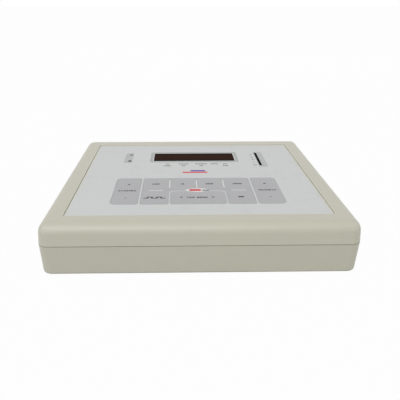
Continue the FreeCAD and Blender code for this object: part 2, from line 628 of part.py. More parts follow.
def build_lower_case():
    """Lower shell: tub, locating tongue, socket bay, screw columns and board columns."""
    body = new_body("lower_case")
    height = f"({LOWER_TOP} - {CASE_BOTTOM})"
    draft_inset = f"({height} * tan(Sizes.lower_draft * 1 deg))"
    tub = pad(body, rounded_sketch(body, "outline", *case_outline(draft_inset), z=CASE_BOTTOM), height,
              taper="Sizes.lower_draft")
    round_edges(body, tub, "sole", "Sizes.sole_radius", at_level(CASE_BOTTOM))
    pocket(body, rounded_sketch(body, "cavity", *case_outline("Sizes.wall"), z=FLOOR_TOP),
           "Sizes.lower_height", along_normal=True)
    tongue = ring_sketch(body, "tongue", "(Sizes.wall - Sizes.tongue_width)", "Sizes.wall", LOWER_TOP)
    pad(body, tongue, "Sizes.tongue_height")

    behind_draft = f"({draft_inset} + {ROOT} / 2)"
    bay_middle = f"(({BAY_INNER} + Sizes.case_depth / 2 - {behind_draft}) / 2)"
    box(body, "bay_wall", "Sizes.bay_width + 2 * Sizes.wall",
        f"Sizes.bay_depth + Sizes.wall - {behind_draft}",
        f"{LOWER_TOP} - {FLOOR_TOP} + {ROOT}", "0", bay_middle, f"{FLOOR_TOP} - {ROOT}", add=True)
    bay_z = f"({CASE_BOTTOM} + Sizes.bay_rise + Sizes.bay_height / 2)"
    bay = rounded_sketch(body, "bay", "Sizes.bay_width", "Sizes.bay_height", "Sizes.bay_corner",
                         y=bay_z, z="-Sizes.case_depth / 2", plane="XZ_Plane")
    pocket(body, bay, "Sizes.bay_depth", along_normal=True)

    raise_posts(body, "bosses", "Sizes.boss_radius", boss_places(), f"{FLOOR_TOP} - {ROOT}",
                f"{SEAM} - {FLOOR_TOP} + {ROOT}")
    raise_posts(body, "standoffs", "Sizes.standoff_radius", main_board_posts(), f"{FLOOR_TOP} - {ROOT}",
                f"Sizes.standoff_height + {ROOT}")
    drill(body, "screw_holes", "(Sizes.case_screw_radius + Sizes.case_screw_clearance)", boss_places(),
          f"{CASE_BOTTOM} - {OVERRUN}", f"Sizes.lower_height + {2 * OVERRUN}")
    drill(body, "counterbores", "(Sizes.case_head_radius + Sizes.case_head_clearance)", boss_places(),
          f"{CASE_BOTTOM} - {OVERRUN}", f"Sizes.counterbore_depth + {OVERRUN}")
    drill(body, "standoff_pilots", "(Sizes.screw_radius + Sizes.pilot_clearance)", main_board_posts(),
          FLOOR_TOP, f"Sizes.standoff_height + {OVERRUN}")
    drill(body, "foot_recesses", "(Sizes.foot_radius + Sizes.foot_clearance)", foot_places(),
          f"{CASE_BOTTOM} - {OVERRUN}", f"Sizes.foot_recess + {OVERRUN}")

    behind_bay, through_wall = f"-({BAY_FACE} + {OVERRUN})", f"Sizes.wall + {2 * OVERRUN}"
    drill(body, "jack_holes", "(Sizes.jack_bush_radius + Sizes.jack_bush_clearance)",
          [(jack_x(index), SOCKET_Z) for index in range(len(JACKS))], behind_bay, through_wall,
          plane="XZ_Plane")
    drill(body, "inlet_hole", "(Sizes.inlet_snout_radius + Sizes.inlet_snout_clearance)",
          [("Sizes.inlet_x", SOCKET_Z)], behind_bay, through_wall, plane="XZ_Plane")
    slot_width = "(Sizes.rocker_body_width + 2 * Sizes.rocker_cutout_clearance)"
    slot_height = "(Sizes.rocker_body_height + 2 * Sizes.rocker_cutout_clearance)"
    box(body, "rocker_cutout", slot_width, f"Sizes.wall + {2 * OVERRUN}", slot_height,
        "Sizes.rocker_x", f"({BAY_FACE} - Sizes.wall / 2)", f"{ROCKER_Z} - {slot_height} / 2", add=False)


def build_upper_case():
    """Upper shell: crowned rim, recess with its tray, hollow rim, screw columns and board posts."""
    body = new_body("upper_case")
    crown = pad(body, rounded_sketch(body, "outline", *case_outline("0"), z=UPPER_BOTTOM),
                f"{RIM_TOP} - {UPPER_BOTTOM}", taper="-Sizes.upper_draft")
    round_edges(body, crown, "crown", "Sizes.crown_radius", at_level(RIM_TOP))
    recess = pocket(body, rounded_sketch(body, "recess", RECESS_WIDTH, RECESS_LENGTH, "Sizes.recess_corner",
                                         z=RIM_TOP), f"{RIM_TOP} - {TRAY_TOP}")
    round_edges(body, recess, "recess_edge", "Sizes.recess_edge_radius",
                at_level(RIM_TOP, RECESS_WIDTH, RECESS_LENGTH))
    pocket(body, rounded_sketch(body, "cavity", *case_outline("Sizes.upper_side_wall"), z=UPPER_BOTTOM),
           f"{TRAY_BOTTOM} - {UPPER_BOTTOM}", along_normal=True)
    channel = ring_sketch(body, "channel", "Sizes.channel_inset", "(Sizes.rim_width - Sizes.wall)",
                          TRAY_BOTTOM)
    pocket(body, channel, f"{CHANNEL_ROOF} - {TRAY_BOTTOM}", along_normal=True)
    rebate_inset = "(Sizes.wall - Sizes.tongue_width - Sizes.tongue_clearance)"
    pocket(body, rounded_sketch(body, "rebate", *case_outline(rebate_inset), z=UPPER_BOTTOM),
           "Sizes.tongue_height + Sizes.tongue_clearance - Sizes.seam_gap", along_normal=True)

    raise_posts(body, "bosses", "Sizes.upper_boss_radius", boss_places(), SEAM,
                f"{CHANNEL_ROOF} - {SEAM} + {ROOT}")
    drill(body, "boss_pilots", "(Sizes.case_screw_radius + Sizes.pilot_clearance)", boss_places(),
          f"{SEAM} - {OVERRUN}", f"{TRAY_BOTTOM} - {SEAM} + {OVERRUN}")
    pilot_depth = f"Sizes.screw_length - Sizes.board_thickness + {2 * OVERRUN}"
    for name, level, places in (("key_posts", KEY_BOARD_TOP, key_board_posts()),
                                ("lcd_posts", LCD_BOARD_TOP, lcd_posts())):
        raise_posts(body, name, "Sizes.post_radius", places, level, f"{TRAY_BOTTOM} - {level} + {ROOT}")
        drill(body, f"{name}_pilots", "(Sizes.screw_radius + Sizes.pilot_clearance)", places,
              f"{level} - {OVERRUN}", pilot_depth)

    tray_cut = f"Sizes.tray_thickness + {2 * OVERRUN}"
    below_tray = f"({TRAY_BOTTOM} - {OVERRUN})"
    box(body, "display_opening", "Sizes.display_width - 2 * Sizes.window_ledge",
        "Sizes.display_depth - 2 * Sizes.window_ledge", tray_cut,
        MIDDLE, DISPLAY_Y, below_tray, add=False)
    box(body, "meter_opening", "Sizes.meter_width - 2 * Sizes.meter_ledge",
        "Sizes.meter_length - 2 * Sizes.window_ledge", tray_cut,
        METER_X, METER_Y, below_tray, add=False)
    drill_indicator_and_microphone(body, below_tray, tray_cut)
    drill(body, "plunger_holes", "(Sizes.plunger_radius + Sizes.plunger_hole_clearance)",
          [(x, y) for x, y, _width, _depth in key_cells().values()], below_tray, tray_cut)


def drill_indicator_and_microphone(body, start, depth):
    """Drill the holes of the indicator light and of the microphone."""
    drill(body, "indicator_hole", "(Sizes.indicator_radius + Sizes.lens_clearance)",
          [(INDICATOR_X, INDICATOR_Y)], start, depth)
    drill(body, "microphone_hole", "Sizes.microphone_hole_radius",
          [(INDICATOR_X, MICROPHONE_Y)], start, depth)


def build_feet_and_case_screws():
    """Rubber feet in their recesses, and the screws that hold the shells together."""
    feet = []
    for index, (x, y) in enumerate(foot_places()):
        height = "(Sizes.foot_drop + Sizes.foot_recess)"
        disc = rod(f"foot_disc_{index}", "Sizes.foot_radius", f"{height} - Sizes.foot_bevel", x, y,
                   "Sizes.foot_bevel")
        bevel = DOC.addObject("Part::Cone", f"foot_bevel_{index}")
        bind(bevel, Radius1="Sizes.foot_radius - Sizes.foot_bevel", Radius2="Sizes.foot_radius",
             Height="Sizes.foot_bevel")
        locate(bevel, x, y, "0")
        feet.append(fuse(f"foot_{index}", [disc, bevel]))
    group("rubber_feet", feet)

    screws = []
    seat = f"({CASE_BOTTOM} + Sizes.counterbore_depth)"
    for index, (x, y) in enumerate(boss_places()):
        head = rod(f"case_head_{index}", "Sizes.case_head_radius", "Sizes.case_head_height", x, y,
                   f"{seat} - Sizes.case_head_height")
        shank = rod(f"case_shank_{index}", "Sizes.case_screw_radius",
                    "Sizes.case_screw_length + Sizes.case_head_height / 2", x, y,
                    f"{seat} - Sizes.case_head_height / 2")
        screws.append(fuse(f"case_screw_{index}", [head, shank]))
    group("case_screws", screws)


# ---------------------------------------------------------------- the front

def build_front_panel():
    """Front panel with its openings for the keys, the windows, the indicator and the microphone."""
    body = new_body("front_panel")
    pad(body, rounded_sketch(body, "outline", f"({RECESS_WIDTH} - 2 * Sizes.panel_clearance)",
                             f"({RECESS_LENGTH} - 2 * Sizes.panel_clearance)", "Sizes.recess_corner",
                             z=TRAY_TOP), "Sizes.panel_thickness")
    for name, (x, y, width, depth) in key_cells().items():
        opening = rounded_sketch(body, f"{name}_opening", f"({width} + 2 * Sizes.key_gap)",
                                 f"({depth} + 2 * Sizes.key_gap)", "(Sizes.key_corner + Sizes.key_gap)",
                                 x=x, y=y, z=PANEL_TOP)
        pocket(body, opening, f"Sizes.panel_thickness + {OVERRUN}")
    through = f"Sizes.panel_thickness + {2 * OVERRUN}"
    below = f"({TRAY_TOP} - {OVERRUN})"
    box(body, "display_opening", "Sizes.display_width", "Sizes.display_depth", through,
        MIDDLE, DISPLAY_Y, below, add=False)
    box(body, "meter_opening", "Sizes.meter_width", "Sizes.meter_length", through,
        METER_X, METER_Y, below, add=False)
    drill_indicator_and_microphone(body, below, through)


def build_windows():
    """Tinted windows that close the display and meter openings, flush with the panel."""
    for label, width, depth, x, y in (
            ("display_window", "Sizes.display_width", "Sizes.display_depth", MIDDLE, DISPLAY_Y),
            ("meter_window", "Sizes.meter_width", "Sizes.meter_length", METER_X, METER_Y)):
        keep(label, block(label, f"({width} - 2 * Sizes.window_clearance)",
                          f"({depth} - 2 * Sizes.window_clearance)", "Sizes.panel_thickness",
                          x, y, TRAY_TOP))


def build_keys():
    """Key plates, the plungers under them, and the tactile switches on the key board."""
    switches = []
    hole_radius = "(Sizes.plunger_radius + Sizes.plunger_clearance)"
    plunger_bottom = f"({KEY_BOARD_TOP} + Sizes.switch_height - Sizes.plunger_seat)"
    key_bottom = f"({PANEL_TOP} - Sizes.key_thickness)"
    hole_depth = "(Sizes.plunger_seat + Sizes.key_travel_room + Sizes.plunger_clearance)"
    for name, (x, y, width, depth) in key_cells().items():
        body = new_body(f"key_{name}")
        pad(body, rounded_sketch(body, "plate", width, depth, "Sizes.key_corner"), "Sizes.key_thickness")
        locate(body, x, y, key_bottom)
        keep(f"plunger_{name}", rod(f"plunger_{name}", "Sizes.plunger_radius",
                                    f"{key_bottom} - {plunger_bottom}", x, y, plunger_bottom))
        housing = block(f"switch_block_{name}", "Sizes.switch_side", "Sizes.switch_side",
                        "Sizes.switch_height", x, y, KEY_BOARD_TOP)
        well = rod(f"switch_well_{name}", hole_radius, f"{hole_depth} + {OVERRUN}", x, y,
                   f"{KEY_BOARD_TOP} + Sizes.switch_height - {hole_depth}")
        switches.append(cut(f"switch_{name}", housing, well))
    group("switch_housings", switches)


def build_key_board():
    """Key board: a main area under the keys and an arm on each side of the display."""
    body = new_body("key_board")
    tip = f"({DISPLAY_Y} + Sizes.key_board_arm_reach)"
    sketch = new_sketch(body, "outline", x=MIDDLE, z=KEY_BOARD_BOTTOM)
    draw_polygon(sketch, [(f"-{KEY_BOARD_HALF}", KEY_BOARD_FRONT), (KEY_BOARD_HALF, KEY_BOARD_FRONT),
                          (KEY_BOARD_HALF, tip), (ARM_INSIDE, tip), (ARM_INSIDE, KEY_BOARD_REAR),
                          (f"-{ARM_INSIDE}", KEY_BOARD_REAR), (f"-{ARM_INSIDE}", tip),
                          (f"-{KEY_BOARD_HALF}", tip)])
    pad(body, sketch, "Sizes.board_thickness")
    drill_board(body, key_board_posts(), KEY_BOARD_BOTTOM)


def drill_board(body, places, bottom):
    """Drill the fixing holes of a board."""
    drill(body, "holes", "(Sizes.screw_radius + Sizes.screw_clearance)", places,
          f"{bottom} - {OVERRUN}", f"Sizes.board_thickness + {2 * OVERRUN}")


def build_display_module():
    """Display module: board, metal frame, liquid crystal cell and light block."""
    board = new_body("lcd_board")
    box(board, "plate", f"2 * ({LCD_HOLE_X} + Sizes.lcd_board_edge)",
        f"2 * ({LCD_HOLE_Y} + Sizes.lcd_board_edge)", "Sizes.board_thickness",
        MIDDLE, DISPLAY_Y, LCD_BOARD_BOTTOM, add=True)
    drill_board(board, lcd_posts(), LCD_BOARD_BOTTOM)

    frame = new_body("lcd_frame")
    box(frame, "block", LCD_FRAME_WIDTH, LCD_FRAME_DEPTH, "Sizes.lcd_frame_height",
        MIDDLE, DISPLAY_Y, LCD_BOARD_TOP, add=True)
    room_width = f"({LCD_FRAME_WIDTH} - 2 * Sizes.lcd_frame_wall)"
    room_depth = f"({LCD_FRAME_DEPTH} - 2 * Sizes.lcd_frame_wall)"
    room_height = "(Sizes.lcd_frame_height - Sizes.lcd_frame_wall)"
    box(frame, "room", room_width, room_depth, f"{room_height} + {OVERRUN}",
        MIDDLE, DISPLAY_Y, f"{LCD_BOARD_TOP} - {OVERRUN}", add=False)
    box(frame, "view", LCD_VIEW_WIDTH, LCD_VIEW_DEPTH,
        f"Sizes.lcd_frame_wall + {2 * OVERRUN}", MIDDLE, DISPLAY_Y,
        f"{LCD_BOARD_TOP} + {room_height} - {OVERRUN}", add=False)

    cell_width = f"({room_width} - 2 * Sizes.lcd_clearance)"
    cell_depth = f"({room_depth} - 2 * Sizes.lcd_clearance)"
    cell_bottom = f"({LCD_BOARD_TOP} + {room_height} - Sizes.lcd_glass_thickness)"
    keep("lcd_glass", block("lcd_glass", cell_width, cell_depth, "Sizes.lcd_glass_thickness",
                            MIDDLE, DISPLAY_Y, cell_bottom))
    keep("lcd_backlight", block("lcd_backlight", cell_width, cell_depth,
                                f"{cell_bottom} - {LCD_BOARD_TOP}", MIDDLE, DISPLAY_Y,
                                LCD_BOARD_TOP))


def build_small_front_parts():
    """Level meter lights, indicator light and microphone, all on the arms of the key board."""
    segments = []
    pitch = f"((Sizes.meter_length - 2 * Sizes.window_ledge) / {METER_LIGHTS})"
    for index in range(METER_LIGHTS):
        y = f"({METER_Y} + {index - (METER_LIGHTS - 1) / 2} * {pitch})"
        segments.append(block(f"meter_light_{index}", "Sizes.meter_width - 2 * Sizes.meter_ledge",
                              f"{pitch} - Sizes.meter_segment_gap", f"{UNDER_TRAY} - {KEY_BOARD_TOP}",
                              METER_X, y, KEY_BOARD_TOP))
    group("meter_lights", segments)

    flange_bottom = f"({KEY_BOARD_TOP} + Sizes.indicator_stand)"
    lens_top = f"({PANEL_TOP} + Sizes.indicator_proud)"
    lens_height = f"({lens_top} - Sizes.indicator_radius - {flange_bottom})"
    flange_radius = "Sizes.indicator_radius + Sizes.lens_clearance + Sizes.indicator_flange_lip"
    flange = rod("indicator_flange", flange_radius, "Sizes.indicator_flange",
                 INDICATOR_X, INDICATOR_Y, flange_bottom)
    barrel = rod("indicator_barrel", "Sizes.indicator_radius", lens_height,
                 INDICATOR_X, INDICATOR_Y, flange_bottom)
    dome = DOC.addObject("Part::Sphere", "indicator_dome")
    bind(dome, Radius="Sizes.indicator_radius")
    locate(dome, INDICATOR_X, INDICATOR_Y, f"{lens_top} - Sizes.indicator_radius")
    legs = [block(f"indicator_leg_{way}", "Sizes.indicator_leg", "Sizes.indicator_leg",
                  f"Sizes.indicator_stand + {ROOT}", f"({INDICATOR_X} + {way} * Sizes.indicator_radius / 2)",
                  INDICATOR_Y, KEY_BOARD_TOP) for way in (-1, 1)]
    keep("indicator_light", fuse("indicator_light", [flange, barrel, dome] + legs))

    keep("microphone", rod("microphone", "Sizes.microphone_radius", f"{UNDER_TRAY} - {KEY_BOARD_TOP}",
                           INDICATOR_X, MICROPHONE_Y, KEY_BOARD_TOP))


def board_screw(name, x, y, level, upwards):
    """Make one board screw; its head lies against the level."""
    head_z = f"{level} - Sizes.screw_head_height" if upwards else level
    shank_z = f"{level} - Sizes.screw_head_height / 2" if upwards else f"{level} - Sizes.screw_length"
    head = rod(f"{name}_head", "Sizes.screw_head_radius", "Sizes.screw_head_height", x, y, head_z)
    shank = rod(f"{name}_shank", "Sizes.screw_radius", "Sizes.screw_length + Sizes.screw_head_height / 2",
                x, y, shank_z)
    return fuse(name, [head, shank])


def build_board_screws():
    """Equal screws that hold the three boards."""
    screws = [board_screw(f"key_board_screw_{index}", x, y, KEY_BOARD_BOTTOM, upwards=True)
              for index, (x, y) in enumerate(key_board_posts())]
    screws += [board_screw(f"lcd_screw_{index}", x, y, LCD_BOARD_BOTTOM, upwards=True)
               for index, (x, y) in enumerate(lcd_posts())]
    screws += [board_screw(f"main_board_screw_{index}", x, y, MAIN_BOARD_TOP, upwards=False)
               for index, (x, y) in enumerate(main_board_posts())]
    group("board_screws", screws)


# ---------------------------------------------------------------- the main board and what is on it

def build_main_board():
    """Main board with the processor, audio chips, relays, capacitors and voltage regulator."""
    board = new_body("main_board")
    box(board, "plate", "Sizes.main_board_width", "Sizes.main_board_depth", "Sizes.board_thickness",
        "0", MAIN_BOARD_Y, MAIN_BOARD_BOTTOM, add=True)
    drill_board(board, main_board_posts(), MAIN_BOARD_BOTTOM)

    keep("processor_chip", block("processor_chip", "Sizes.processor_side", "Sizes.processor_side",
                                 "Sizes.processor_height", "0", MAIN_BOARD_Y, MAIN_BOARD_TOP))
    chip_y = f"({MAIN_BOARD_FRONT} + Sizes.audio_chip_inset)"
    group("audio_chips", [
        block(f"audio_chip_{index}", "Sizes.audio_chip_length", "Sizes.audio_chip_width",
              "Sizes.audio_chip_height", f"({index} * Sizes.audio_chip_pitch)", chip_y, MAIN_BOARD_TOP)
        for index in range(AUDIO_CHIPS)])
    relay_y = f"({BAY_INNER} - Sizes.jack_depth - Sizes.relay_gap - Sizes.relay_length / 2)"
    group("output_relays", [
        block(f"output_relay_{index}", "Sizes.relay_width", "Sizes.relay_length", "Sizes.relay_height",
              jack_x(index), relay_y, MAIN_BOARD_TOP) for index in range(OUTPUT_RELAYS)])
    capacitor_y = f"({MAIN_BOARD_REAR} - Sizes.capacitor_inset)"
    group("capacitors", [
        rod(f"capacitor_{index}", "Sizes.capacitor_radius", "Sizes.capacitor_height",
            f"(Sizes.inlet_x + {index - CAPACITORS // 2} * Sizes.capacitor_pitch)", capacitor_y,
            MAIN_BOARD_TOP)
        for index in range(CAPACITORS)])
    regulator_y = f"({BAY_INNER} - Sizes.inlet_depth - Sizes.regulator_gap - Sizes.regulator_thickness / 2)"
    body = block("regulator_body", "Sizes.regulator_width", "Sizes.regulator_thickness",
                 "Sizes.regulator_height", "Sizes.inlet_x", regulator_y, MAIN_BOARD_TOP)
    tab_y = f"({regulator_y} - (Sizes.regulator_thickness - Sizes.regulator_tab) / 2)"
    tab = block("regulator_tab", "Sizes.regulator_width", "Sizes.regulator_tab",
                "Sizes.regulator_tab_height", "Sizes.inlet_x", tab_y, MAIN_BOARD_TOP)
    keep("voltage_regulator", fuse("voltage_regulator", [body, tab]))


def build_ribbon_cable():
    """Flat cable with two bends between the plug on the main board and the plug on the key board."""
    rear_y = f"({MAIN_BOARD_FRONT} + Sizes.ribbon_plug_inset)"
    front_y = f"({KEY_BOARD_REAR} - Sizes.ribbon_plug_inset)"
    lower_top = f"({MAIN_BOARD_TOP} + Sizes.ribbon_plug_height)"
    upper_bottom = f"({KEY_BOARD_BOTTOM} - Sizes.ribbon_plug_height)"
    group("ribbon_plugs", [
        block("ribbon_plug_lower", "Sizes.ribbon_plug_width", "Sizes.ribbon_plug_depth",
              "Sizes.ribbon_plug_height", "Sizes.ribbon_x", rear_y, MAIN_BOARD_TOP),
        block("ribbon_plug_upper", "Sizes.ribbon_plug_width", "Sizes.ribbon_plug_depth",
              "Sizes.ribbon_plug_height", "Sizes.ribbon_x", front_y, upper_bottom)])

    bend = f"(({upper_bottom} - {lower_top}) / 2)"
    outer, inner = f"({bend} + Sizes.ribbon_thickness / 2)", f"({bend} - Sizes.ribbon_thickness / 2)"
    left = "(Sizes.ribbon_x - Sizes.ribbon_width / 2)"
    body = new_body("ribbon_cable")
    box(body, "run", "Sizes.ribbon_width", f"{rear_y} - {front_y} - 2 * {bend}", "Sizes.ribbon_thickness",
        "Sizes.ribbon_x", f"({rear_y} + {front_y}) / 2", f"{lower_top} + {inner}", add=True)
    for name, y, z, turn in (("lower", f"({rear_y} - {bend})", lower_top, 0),
                             ("upper", f"({front_y} + {bend})", upper_bottom, 180)):
        for layer, radius, add in (("bend", outer, True), ("hollow", inner, False)):
            kind = "PartDesign::AdditiveCylinder" if add else "PartDesign::SubtractiveCylinder"
            feature = body.newObject(kind, f"ribbon_cable_{name}_{layer}")
            feature.AttachmentOffset = FreeCAD.Placement(
                FreeCAD.Vector(), FreeCAD.Rotation(FreeCAD.Vector(0, 0, 1), turn))
            attach(feature, body, y, z, left, plane="YZ_Plane")
            bind(feature, Radius=radius, Height="Sizes.ribbon_width", Angle="90")
            expect(feature, grows=add)


# ---------------------------------------------------------------- the rear sockets

def build_phone_jacks():
    """Phone sockets with their threaded bushes, and the nuts that clamp them to the wall."""
    nuts = []
    bush_rear = f"({BAY_FACE} + Sizes.jack_bush_out)"
    bore_front = f"({BAY_INNER} - Sizes.jack_depth + Sizes.jack_back_wall)"
    for index, name in enumerate(JACKS):
        x = jack_x(index)
        body = new_body(f"{name}_jack")
        box(body, "block", "Sizes.jack_width", "Sizes.jack_depth", "Sizes.jack_height",
            x, f"({BAY_INNER} - Sizes.jack_depth / 2)", MAIN_BOARD_TOP, add=True)
        rear_cylinder(body, "bush", "Sizes.jack_bush_radius", f"({BAY_INNER} - {ROOT})", bush_rear,
                      x, SOCKET_Z, add=True)
        rear_cylinder(body, "bore", "Sizes.jack_bore_radius", bore_front, f"({bush_rear} + {OVERRUN})",
                      x, SOCKET_Z, add=False)
        nuts.append(make_nut(f"jack_nut_{index}", x))
    group("jack_nuts", nuts)


def make_nut(name, x):
    """Make one six-sided nut that lies against the wall of the bay."""
    prism = DOC.addObject("Part::Prism", f"{name}_prism")
    prism.Polygon = 6
    bind(prism, Circumradius="Sizes.nut_flats / sqrt(3)", Height="Sizes.nut_thickness")
    hole = DOC.addObject("Part::Cylinder", f"{name}_hole")
    bind(hole, Radius="Sizes.jack_bush_radius + Sizes.nut_clearance",
         Height=f"Sizes.nut_thickness + {2 * OVERRUN}")
    to_rear = FreeCAD.Rotation(FreeCAD.Vector(1, 0, 0), -90)
    for feature, y in ((prism, BAY_FACE), (hole, f"{BAY_FACE} - {OVERRUN}")):
        feature.Placement = FreeCAD.Placement(FreeCAD.Vector(), to_rear)
        locate(feature, x, y, SOCKET_Z)
    return cut(name, prism, hole)


def build_power_inlet():
    """Power inlet: body on the main board, round mouth in the wall, bore with a centre pin."""
    x = "Sizes.inlet_x"
    bore_front = f"({BAY_FACE} - Sizes.inlet_bore_depth)"
    body = new_body("power_inlet")
    box(body, "block", "Sizes.inlet_width", "Sizes.inlet_depth", "Sizes.inlet_height",
        x, f"({BAY_INNER} - Sizes.inlet_depth / 2)", MAIN_BOARD_TOP, add=True)
    rear_cylinder(body, "snout", "Sizes.inlet_snout_radius", f"({BAY_INNER} - {ROOT})", BAY_FACE,
                  x, SOCKET_Z, add=True)
    rear_cylinder(body, "bore", "Sizes.inlet_bore_radius", bore_front, f"({BAY_FACE} + {OVERRUN})",
                  x, SOCKET_Z, add=False)
    rear_cylinder(body, "pin", "Sizes.inlet_pin_radius", f"({bore_front} - {ROOT})",
                  f"({BAY_FACE} - {OVERRUN})", x, SOCKET_Z, add=True)


def build_power_switch():
    """Rocker switch: frame with its well, terminals and leads, and the rocker on its pivot pins."""
    x = "Sizes.rocker_x"
    flange_face = f"({BAY_FACE} + Sizes.rocker_flange_thickness)"
    pivot_y = f"({flange_face} - Sizes.rocker_pivot_depth)"
    body_front = f"({BAY_FACE} - Sizes.rocker_body_depth)"
    well_width = "(Sizes.rocker_length + 2 * Sizes.rocker_end_gap)"
    well_height = "(Sizes.rocker_height + 2 * Sizes.rocker_gap)"
    pin_half = f"({well_height} / 2 + Sizes.rocker_pin_reach)"

    frame = new_body("power_switch_frame")
    box(frame, "block", "Sizes.rocker_body_width", f"{BAY_FACE} - {body_front}",
        "Sizes.rocker_body_height", x, f"(({BAY_FACE} + {body_front}) / 2)",
        f"{ROCKER_Z} - Sizes.rocker_body_height / 2", add=True)
    box(frame, "flange", "Sizes.rocker_flange_width", "Sizes.rocker_flange_thickness",
        "Sizes.rocker_flange_height", x, f"({BAY_FACE} + Sizes.rocker_flange_thickness / 2)",
        f"{ROCKER_Z} - Sizes.rocker_flange_height / 2", add=True)
    box(frame, "well", well_width, f"Sizes.rocker_well + {OVERRUN}", well_height,
        x, f"({flange_face} + {OVERRUN} / 2 - Sizes.rocker_well / 2)", f"{ROCKER_Z} - {well_height} / 2",
        add=False)
    clearance = "Sizes.rocker_pin_clearance"
    cylinder(frame, "pin_hole", f"Sizes.rocker_pin_radius + {clearance}", f"2 * ({pin_half} + {clearance})",
             x, pivot_y, f"{ROCKER_Z} - {pin_half} - {clearance}", add=False)
    for tag, way in (("left", -1), ("right", 1)):
        box(frame, f"terminal_{tag}", "Sizes.terminal_width", f"Sizes.terminal_length + {ROOT}",
            "Sizes.terminal_thickness", f"({x} + {way} * Sizes.terminal_spacing / 2)",
            f"({body_front} + ({ROOT} - Sizes.terminal_length) / 2)",
            f"{ROCKER_Z} - Sizes.terminal_thickness / 2", add=True)

    rocker = new_body("power_rocker")
    half = "(Sizes.rocker_length / 2)"
    tip_rise = f"(Sizes.rocker_waist + {half} * tan(Sizes.rocker_slope * 1 deg))"
    sketch = new_sketch(rocker, "profile", z="-Sizes.rocker_height / 2")
    foot, drop = "Sizes.rocker_foot_half", "(-Sizes.rocker_foot_drop)"
    shoulder = "Sizes.rocker_shoulder"
    draw_polygon(sketch, [("0", "Sizes.rocker_waist"), (f"-{half}", tip_rise), (f"-{half}", shoulder),
                          (f"-{foot}", drop), (foot, drop), (half, shoulder), (half, tip_rise)])
    pad(rocker, sketch, "Sizes.rocker_height")
    cylinder(rocker, "pins", "Sizes.rocker_pin_radius", f"2 * {pin_half}", "0", "0", f"-{pin_half}",
             add=True)
    rocker.Placement = FreeCAD.Placement(
        FreeCAD.Vector(), FreeCAD.Rotation(FreeCAD.Vector(0, 0, 1), -value("Sizes.rocker_slope")))
    locate(rocker, x, pivot_y, ROCKER_Z)
    build_switch_leads(x, f"({body_front} - Sizes.terminal_length)")


def build_switch_leads(switch_x, terminal_end):
    """Two leads that run forward from the terminals and bend down to the main board."""
    leads = []
    for tag, way in (("left", -1), ("right", 1)):
        x = f"({switch_x} + {way} * Sizes.terminal_spacing / 2)"
        bend_y = f"({terminal_end} - Sizes.lead_run)"
        drop_y = f"({bend_y} - Sizes.lead_bend)"
        bend_z = f"({ROCKER_Z} - Sizes.lead_bend)"
        run = DOC.addObject("Part::Cylinder", f"lead_run_{tag}")
        bind(run, Radius="Sizes.lead_radius", Height="Sizes.lead_run")
        run.Placement = FreeCAD.Placement(
            FreeCAD.Vector(), FreeCAD.Rotation(FreeCAD.Vector(1, 0, 0), 90))
        locate(run, x, terminal_end, ROCKER_Z)
        bend = DOC.addObject("Part::Torus", f"lead_bend_{tag}")
        bind(bend, Radius1="Sizes.lead_bend", Radius2="Sizes.lead_radius", Angle3="90")
        bend.Placement = FreeCAD.Placement(
            FreeCAD.Vector(), FreeCAD.Rotation(FreeCAD.Vector(0, 1, 0), -90)
            * FreeCAD.Rotation(FreeCAD.Vector(0, 0, 1), -90))
        locate(bend, x, bend_y, bend_z)
        down = rod(f"lead_drop_{tag}", "Sizes.lead_radius", f"{bend_z} - {MAIN_BOARD_TOP}", x, drop_y,
                   MAIN_BOARD_TOP)
        leads.append(fuse(f"switch_lead_{tag}", [run, bend, down]))
    group("switch_leads", leads)


# ---------------------------------------------------------------- checks and files

def check_document():
    """Stop if any object failed or any piece isn't a valid shape."""
    DOC.recompute()
    failed = [item.Label for item in DOC.Objects if {"Invalid", "Error"} & set(item.State)]
    if failed:
        raise RuntimeError(f"features failed: {failed}")
    for feature, grows in EXPECTED_CHANGES:
        base = feature.BaseFeature
        change = feature.Shape.Volume - (base.Shape.Volume if base else 0.0)
        if (change > 0) != grows:
            raise RuntimeError(f"{feature.Name} changed the volume by {change:.3f} mm3")
    for label, piece in NODES.items():
        if piece.Shape.isNull() or not piece.Shape.isValid() or not piece.Shape.Solids:
            raise RuntimeError(f"{label} has no valid shape")


def write_parts():
    """Write each piece to its own file."""
    os.makedirs("parts", exist_ok=True)
    for label, piece in NODES.items():
        piece.Shape.exportStep(f"parts/{label}.step")
        bounds = piece.Shape.BoundBox
        corners = [round(number, 2) for number in (bounds.XMin, bounds.YMin, bounds.ZMin,
                                                   bounds.XMax, bounds.YMax, bounds.ZMax)]
        print(f"{label}: {len(piece.Shape.Solids)} solid(s), {piece.Shape.Volume:.1f} mm3, {corners}")


fill_sheet()
build_lower_case()
build_upper_case()
build_feet_and_case_screws()
build_front_panel()
build_windows()
build_keys()
build_key_board()
build_display_module()
build_small_front_parts()
build_board_screws()
build_main_board()
build_ribbon_cable()
build_phone_jacks()
build_power_inlet()
build_power_switch()
check_document()
write_parts()
print(f"{len(NODES)} nodes")
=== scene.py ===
"""Finishes and fine detail of a desktop audiometer, with its studio and camera.

The part's frame is loaded first and stays as it is. Every length that a class holds is in millimetres, every
mesh is in metres, and the pattern of a finish is laid out in millimetres of the part's own frame.
"""

import json
import logging
import math
from collections.abc import Callable, Iterator
from contextlib import contextmanager
from dataclasses import dataclass
from enum import Enum

import bmesh
import bpy
from mathutils import Matrix, Vector

